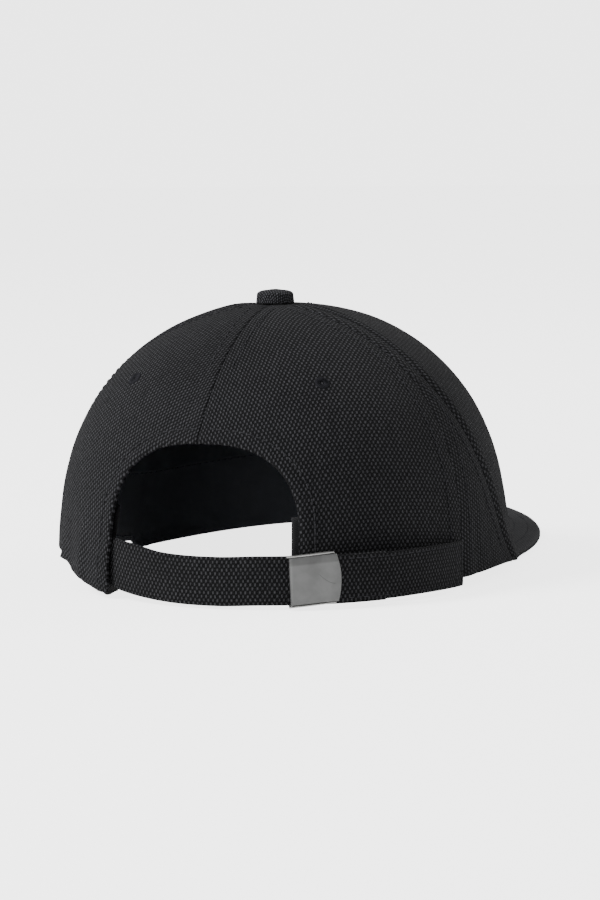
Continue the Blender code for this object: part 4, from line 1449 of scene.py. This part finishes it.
def make_strap_root():
    """Folded end of tape under the strap's root, which shows below the panel's corner."""
    first, last = STRAP_ROOT_TAB

    def place(row, column):
        up, share = row / 8, column / 24
        angle = first + (last - first) * share
        foot = TAB_FOOT - TAB_HANG * bell(share - 0.50, 0.40)
        height = foot + (TAB_TOP - foot) * up
        half = TAB_HALF * (0.3 + 0.7 * full_edge(abs(2.0 * up - 1.0), 8))
        return (strap_point(angle, TAB_RADIUS + half, height), strap_point(angle, TAB_RADIUS - half, height),
                (math.radians(angle) * STRAP_RADIUS, height))

    sheet_piece("strap_root_tab", 9, 25, place, TAPE, "cap", sharp=70.0)


def band_foot(angle):
    """Lower edge of the band: it rises a little in the middle of its length and at the clasp."""
    share = (angle - BAND_START) / (BAND_END[0] - BAND_START)
    drawn_up = BAND_DRAWN_UP * (1.0 - smooth_step((angle - BAND_START) / 17.0))
    return BAND_LOWEST + BAND_BOW * math.sin(math.pi * clamp(share)) + drawn_up


def band_stitch(angle, radius, rise, lift):
    """Place and normal of a stitch on the band's face."""
    normal = (strap_point(angle, radius) - STRAP_CENTRE).normalized()
    return strap_point(angle, radius, band_foot(angle) + rise) + normal * lift, normal


def make_band():
    """Band that loops round the clasp's bar, with its stitching."""
    bar_angle = clasp_angle(BAR_AT[0])
    bar = strap_point(bar_angle, BAR_AT[1])
    turn_radius = ROD_RADIUS + 0.15 * MM + BAND_CLOTH / 2.0
    return_angle = bar_angle + math.degrees(BAND_RETURN / BAR_AT[1])
    outward = (bar - STRAP_CENTRE).normalized()
    entry = Vector((outward.y, -outward.x, 0.0))
    path, angles = [], []
    for step in range(6):
        angles.append(return_angle + (bar_angle - return_angle) * step / 6)
        path.append(strap_point(angles[-1], BAR_AT[1] - turn_radius))
    for step in range(17):
        turn = -math.pi / 2.0 + math.pi * step / 16
        angles.append(bar_angle)
        path.append(bar + (entry * math.cos(turn) + outward * math.sin(turn)) * turn_radius)
    steps = 84
    front = []
    for step in range(1, steps + 1):
        share = step / steps
        radius = (BAR_AT[1] + turn_radius) * (1.0 - share) + BAND_END[1] * share
        angles.append(bar_angle + (BAND_END[0] - bar_angle) * share)
        path.append(strap_point(angles[-1], radius))
        front.append((angles[-1], radius + BAND_CLOTH / 2.0))
    path.reverse()
    angles.reverse()
    feet = [band_foot(angle) for angle in angles]
    tops = [foot + BAND_HEIGHT for foot in feet]
    webbing_piece("band_canvas", path, feet, tops, BAND_CLOTH, "cap", "clasp_band", 0.05 * MM)
    shape = bmesh.new()
    for rise in (BAND_ROWS_IN, BAND_HEIGHT - BAND_ROWS_IN):
        sew(shape, [band_stitch(angle, radius, rise, 0.04 * MM) for angle, radius in front[2:-1]])
    radius = BAND_END[1] + BAND_CLOTH / 2.0 + 0.1 * MM
    for back in BAND_CROSS_ROWS:
        angle = BAND_END[0] - math.degrees(back / BAND_END[1])
        rises = [BAND_HEIGHT * (0.07 + 0.86 * step / 12) for step in range(13)]
        sew(shape, [band_stitch(angle, radius, rise, 0.0) for rise in rises])
    make_piece("band_stitching", finish_mesh("band_stitching", shape), THREAD, "cap")


# Clasp

CLASP_HEIGHT = 19.9 * MM
CLASP_LENGTH = 21.6 * MM
EAR_THICK = 0.5 * MM
BASE_FACES = (75.7 * MM, 76.6 * MM)
EAR_REACH = 82.0 * MM
EAR_TAPER = 0.65 * MM  # the channel is a little narrower at its base
EAR_FULL = 18.2 * MM  # past here the ears step back behind the band
EAR_BACK = 1.7 * MM  # by this much
EAR_DROP = 2.1 * MM  # and the upper ear stands this much lower
PLATE_FACES = (80.55 * MM, 81.55 * MM)
PLATE_LENGTH = 19.0 * MM
PLATE_BULGE = 1.5 * MM
FLAP_SKEW = 0.4 * MM  # the free edge is a little out of square
PLATE_BOW = 0.25 * MM
PIN_AT = (1.7 * MM, 80.45 * MM)
KNUCKLE_RADIUS = 1.1 * MM


def loft(rings):
    """Solid through closed rings of points, with flat ends."""
    shape = bmesh.new()
    made = [[shape.verts.new(point) for point in ring] for ring in rings]
    for first, second in zip(made, made[1:]):
        bridge(shape, first, second)
    shape.faces.new(made[0])
    shape.faces.new(made[-1])
    bmesh.ops.recalc_face_normals(shape, faces=shape.faces)
    return shape


def soften_edges(shape, width, segments=3, over=40.0):
    """Rounds every edge sharper than an angle."""
    edges = [edge for edge in shape.edges
             if len(edge.link_faces) == 2 and edge.calc_face_angle(0.0) > math.radians(over)]
    bmesh.ops.bevel(shape, geom=edges, offset=width, segments=segments, profile=0.6, affect="EDGES",
                    clamp_overlap=True)
    return shape


def make_clasp_frame():
    """Folded channel: a base behind the strap and two ears that hold the pin and the bar."""
    inner, base = BASE_FACES
    low, high = EAR_THICK, CLASP_HEIGHT - EAR_THICK
    section = [(inner, EAR_TAPER), (EAR_REACH, 0.0), (EAR_REACH, low), (base, low + EAR_TAPER),
               (base, high - EAR_TAPER), (EAR_REACH, high), (EAR_REACH, CLASP_HEIGHT),
               (inner, CLASP_HEIGHT - EAR_TAPER)]
    steps = 48
    rings = []
    for step in range(steps + 1):
        along = CLASP_LENGTH * step / steps
        past = smooth_step((along - EAR_FULL) / (0.9 * MM))
        rings.append([clasp_point(along + FLAP_SKEW * (1.0 - 2.0 * height / CLASP_HEIGHT),
                                  radius - EAR_BACK * past if radius == EAR_REACH else radius,
                                  height - EAR_DROP * past if height > CLASP_HEIGHT / 2.0 else height)
                      for radius, height in section])
    mesh = finish_mesh("clasp_channel", soften_edges(loft(rings), 0.09 * MM, 2))
    make_piece("clasp_channel", mesh, METAL, "cap", ["clasp_frame"])


def make_rod(name, along, radius, node, top=CLASP_HEIGHT):
    """Steel rod between the ears, with its ends peened over."""
    profile = [(0.35 * MM, 0.02 * MM), (0.75 * MM, 0.08 * MM), (0.8 * MM, 0.25 * MM), (ROD_RADIUS, 0.3 * MM)]
    profile += [(reach, top + 0.12 * MM - height) for reach, height in reversed(profile)]
    middle = clasp_point(along, radius)
    rings = [[middle + Vector((reach * x, reach * y, height)) for x, y in circle(20)]
             for reach, height in profile]
    make_piece(name, finish_mesh(name, loft(rings)), METAL, "cap", [node])


def flap_outline():
    """The flap from above: (along, radius, share of its length) round the face, the knuckle and the back."""
    under, face = PLATE_FACES
    start, length = PIN_AT[0], PLATE_LENGTH - PIN_AT[0]
    outline = []
    steps = 22
    for step in range(steps + 1):
        share = 1.0 - step / steps
        outline.append((start + length * share, face + 1.15 * MM * smooth_step((share - 0.55) / 0.45), share))
    for step in range(1, 13):
        turn = math.pi / 2.0 + math.pi * step / 12
        x, y = KNUCKLE_RADIUS * math.cos(turn), KNUCKLE_RADIUS * math.sin(turn)
        outline.append((start + x, PIN_AT[1] + y, 0.0))
    outline += [(3.0 * MM, 79.25 * MM, 0.0), (4.2 * MM, under, 0.05)]
    for step in range(4, steps + 1):
        share = step / steps
        lift = 1.25 * MM * smooth_step((share - 0.55) / 0.45)
        outline.append((start + length * share, under + lift + 0.1 * MM, share))
    return outline


def make_clasp_plate():
    """Flap: a knuckle on the pin, a bowed face and a curved free edge that stands over the band."""
    low, high = EAR_THICK + 0.25 * MM, CLASP_HEIGHT - EAR_THICK - 0.25 * MM
    rings = []
    rows = 18
    for row in range(rows + 1):
        up = row / rows
        level = 1.0 - (2.0 * up - 1.0) ** 2
        ring = []
        for along, radius, share in flap_outline():
            skew = FLAP_SKEW * (1.0 - 2.0 * up) * (0.8 + 0.2 * share)
            bow = PLATE_BOW * level * math.sin(math.pi * min(share + 0.15, 1.0))
            reach = along + PLATE_BULGE * level * share ** 3 + skew
            ring.append(clasp_point(reach, radius + bow, low + (high - low) * up))
        rings.append(ring)
    mesh = finish_mesh("clasp_plate", soften_edges(loft(rings), 0.16 * MM, 3, 55.0))
    make_piece("clasp_plate", mesh, SHADED_FLAP_NICKEL, "flap", ["clasp_flap"])


def make_clasp():
    make_clasp_frame()
    make_rod("clasp_pin", *PIN_AT, "clasp_hinge_pin")
    make_rod("clasp_bar", *BAR_AT, "clasp_loop_bar", CLASP_HEIGHT - EAR_DROP - 0.2 * MM)
    make_clasp_plate()


# Protective insert

SHELL_DEPTH = 4.2 * MM
SHELL_THICK = 2.2 * MM
SHELL_EDGE = 33.2 * MM
SHELL_CUT_HALF = 68.0 * MM
SHELL_CUT_SPRING = 30.0 * MM
SHELL_CUT_TOP = 74.0 * MM
SHELL_CUT_FOOT = -20.0 * MM
SHELL_CUT_RUN = (30.0 * MM, 130.0 * MM)  # how far back from the crown's centre it cuts
SHELL_TOP_CLIMB = math.radians(89.8)
VENT_RADIUS = 5.0 * MM
PAD_GAP = 0.9 * MM
PAD_THICK = 3.6 * MM
PAD_CHANNEL = 1.1 * MM


def insert_point(angle, share, depth):
    """Point of the insert: share 0 at the shell's lower edge and 1 at its top."""
    foot = climb_at_height(angle, rim_height(angle) + SHELL_EDGE)
    return crown_point(angle, foot + (SHELL_TOP_CLIMB - foot) * share, depth)


def shell_cutter():
    """The opening at the back of the shell, as a solid to cut away."""
    middle = OPENING_MIDDLE + CROWN_CENTRE.x
    outline = []
    for step in range(49):
        turn = math.pi * step / 48
        x, height = arch_place(turn, SHELL_CUT_HALF, SHELL_CUT_SPRING, SHELL_CUT_TOP, OPENING_POWER)
        outline.append((middle + x, height))
    outline = [(outline[0][0], SHELL_CUT_FOOT), *outline, (outline[-1][0], SHELL_CUT_FOOT)]
    return loft([[Vector((x, CROWN_CENTRE.y + y, height)) for x, height in outline] for y in SHELL_CUT_RUN])


def vent_cutter(angle, height):
    """A round vent behind an eyelet, as a solid to cut away."""
    climb = climb_at_height(angle, height)
    place = crown_point(angle, climb)
    turn = crown_normal(angle, climb).to_track_quat("Z", "Y").to_matrix()
    return loft([[place + turn @ Vector((VENT_RADIUS * x, VENT_RADIUS * y, along)) for x, y in circle(32)]
                 for along in (-14.0 * MM, 2.0 * MM)])


def cut_with(piece, shapes):
    """Cuts a piece with closed shapes and keeps only the result."""
    for shape in shapes:
        mesh = bpy.data.meshes.new("cutter")
        shape.to_mesh(mesh)
        shape.free()
        cutter = bpy.data.objects.new("cutter", mesh)
        bpy.context.scene.collection.objects.link(cutter)
        modifier = piece.modifiers.new("cut", "BOOLEAN")
        modifier.operation = "DIFFERENCE"
        modifier.object = cutter
        done = bpy.data.meshes.new_from_object(piece.evaluated_get(bpy.context.evaluated_depsgraph_get()))
        piece.modifiers.clear()
        piece.data = done
        bpy.data.objects.remove(cutter)
    piece.data.shade_smooth()
    piece.data.set_sharp_from_angle(angle=math.radians(35.0))


def make_shell():
    """Moulded shell: even wall, a thicker edge and shallow flutes, with vents behind the eyelets."""
    columns, rows = 144, 36

    def place(row, column):
        share = row / rows
        angle = 360.0 * column / columns
        lip = 0.45 * MM * bell(share, 0.03)
        flute = 0.5 * MM * math.cos(math.radians(angle) * 10.0) ** 8
        flute *= smooth_step((share - 0.12) / 0.12) * smooth_step((0.85 - share) / 0.2)
        return (insert_point(angle, share, SHELL_DEPTH + flute),
                insert_point(angle, share, SHELL_DEPTH + SHELL_THICK + lip + flute * 0.4))

    shell = sheet_piece("moulded_shell", rows + 1, columns, place, PLASTIC, "insert",
                        "protective_shell", 35.0, wrap=True)
    cut_with(shell, [shell_cutter()] + [vent_cutter(*place) for place in EYELETS.values()])


def make_pads():
    """Foam pads: full in the middle, rounded at their edges, with pressed channels."""
    pads = {
        "pad_front": (150.0, 210.0, 0.10, 0.42),
        "pad_right": (72.0, 124.0, 0.12, 0.42),
        "pad_left": (236.0, 288.0, 0.12, 0.42),
        "pad_middle_front": (140.0, 220.0, 0.56, 0.82),
        "pad_middle_back": (-34.0, 34.0, 0.66, 0.86),
    }
    back = SHELL_DEPTH + SHELL_THICK + PAD_GAP
    columns, rows = 60, 30
    for name, (first, last, low, high) in pads.items():

        def place(row, column):
            up, across = eased(row, rows), eased(column, columns)
            edge_up, edge_across = abs(2.0 * up - 1.0), abs(2.0 * across - 1.0)
            edge = max(edge_up, edge_across)
            corner = (edge_up ** 8 + edge_across ** 8) ** 0.125
            squeeze = 1.0 / max(corner / max(edge, 0.001), 1.0)
            angle = first + (last - first) * (0.5 + (across - 0.5) * squeeze)
            share = low + (high - low) * (0.5 + (up - 0.5) * squeeze)
            groove = PAD_CHANNEL * sum(bell(across - middle, 0.022) for middle in (0.27, 0.5, 0.73))
            thick = PAD_THICK - groove * smooth_step((0.94 - edge_up) / 0.1)
            thick *= 0.12 + 0.88 * full_edge(edge, 10)
            return insert_point(angle, share, back), insert_point(angle, share, back + thick)

        pad = sheet_piece(name + "_foam", rows + 1, columns + 1, place, FOAM, "insert", name, 60.0)


def dress_cad_nodes():
    """Better materials for the pieces whose CAD shape stays."""
    metal = ("button_core", "button_rivet", "button_washer")
    for node, material in (("visor_board", BOARD), *((node, METAL) for node in metal)):
        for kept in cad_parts[node].material_slots:
            kept.material = material


# Studio

CAMERA_AT = Vector((-0.4439, 1.1471, 0.1742))
CAMERA_AIM = Vector((0.0052, 0.0034, 0.0458))
CAMERA_ROLL = math.radians(-0.426)
CAMERA_LENS = 115.65


def make_camera():
    data = bpy.data.cameras.new("camera")
    data.lens = CAMERA_LENS
    data.sensor_width = 36.0
    data.clip_end = 50.0
    camera = bpy.data.objects.new("camera", data)
    turn = (CAMERA_AIM - CAMERA_AT).to_track_quat("-Z", "Y").to_matrix().to_4x4()
    camera.matrix_world = Matrix.Translation(CAMERA_AT) @ turn @ Matrix.Rotation(CAMERA_ROLL, 4, "Z")
    bpy.context.scene.collection.objects.link(camera)
    bpy.context.scene.camera = camera


def add_light(name, place, size, power):
    data = bpy.data.lights.new(name, "AREA")
    data.shape = "DISK"
    data.size = size
    data.energy = power
    light = bpy.data.objects.new(name, data)
    aim = Vector((0.0, 0.0, 0.05)) - place
    light.matrix_world = Matrix.Translation(place) @ aim.to_track_quat("-Z", "Y").to_matrix().to_4x4()
    bpy.context.scene.collection.objects.link(light)


FLOOR_AT = -1.1 * MM
BACKDROP_LIGHT = 0.48  # what the backdrop sends onto the cap
BACKDROP_SEEN = 3.5  # how white the backdrop looks
FLOOR_SEEN = 3.0


def seen_directly(tree, light, seen):
    """Strength of the white backdrop: less of it lights the cap than is seen."""
    strength = tree.nodes.new("ShaderNodeMapRange")
    strength.inputs["To Min"].default_value = light
    strength.inputs["To Max"].default_value = seen
    tree.links.new(tree.nodes.new("ShaderNodeLightPath").outputs["Is Camera Ray"], strength.inputs["Value"])
    return strength.outputs[0]


def make_floor():
    bpy.ops.mesh.primitive_circle_add(vertices=96, radius=12.0, fill_type="NGON",
                                      location=(0.0, 0.0, FLOOR_AT))
    floor = bpy.context.object
    floor.name = "studio_floor"
    paper = plain_white("studio_paper", 0.86)
    tree = paper.node_tree
    shader = tree.nodes["Principled BSDF"]
    shader.inputs["Emission Color"].default_value = (1.0, 1.0, 1.0, 1.0)
    tree.links.new(seen_directly(tree, 0.0, FLOOR_SEEN), shader.inputs["Emission Strength"])
    floor.data.materials.append(paper)


def make_studio():
    """White floor and backdrop, and three soft lights placed from the camera's side of the cap."""
    make_floor()
    world = bpy.data.worlds.new("studio")
    world.use_nodes = True
    tree = world.node_tree
    background = tree.nodes["Background"]
    background.inputs["Color"].default_value = (1.0, 1.0, 1.0, 1.0)
    tree.links.new(seen_directly(tree, BACKDROP_LIGHT, BACKDROP_SEEN), background.inputs["Strength"])
    bpy.context.scene.world = world
    toward_camera = Vector((CAMERA_AT.x, CAMERA_AT.y, 0.0)).normalized()
    left = Vector((toward_camera.y, -toward_camera.x, 0.0))
    add_light("key", toward_camera * 0.7 + left * 1.6 + UP * 1.5, 0.9, 60.0)
    add_light("rim", toward_camera * -0.9 - left * 1.6 + UP * 0.9, 0.9, 11.0)
    add_light("fill", toward_camera * 1.9 + left * 0.5 + UP * 0.35, 0.6, 4.0)


make_camera()
make_studio()
make_crown()
make_crown_stitching()
for eyelet in EYELETS:
    make_eyelet(eyelet)
make_button()
make_tapes()
make_facing()
make_visor_cloths()
make_sweatband()
make_strap()
make_strap_root()
make_band()
make_clasp()
make_shell()
make_pads()
dress_cad_nodes()
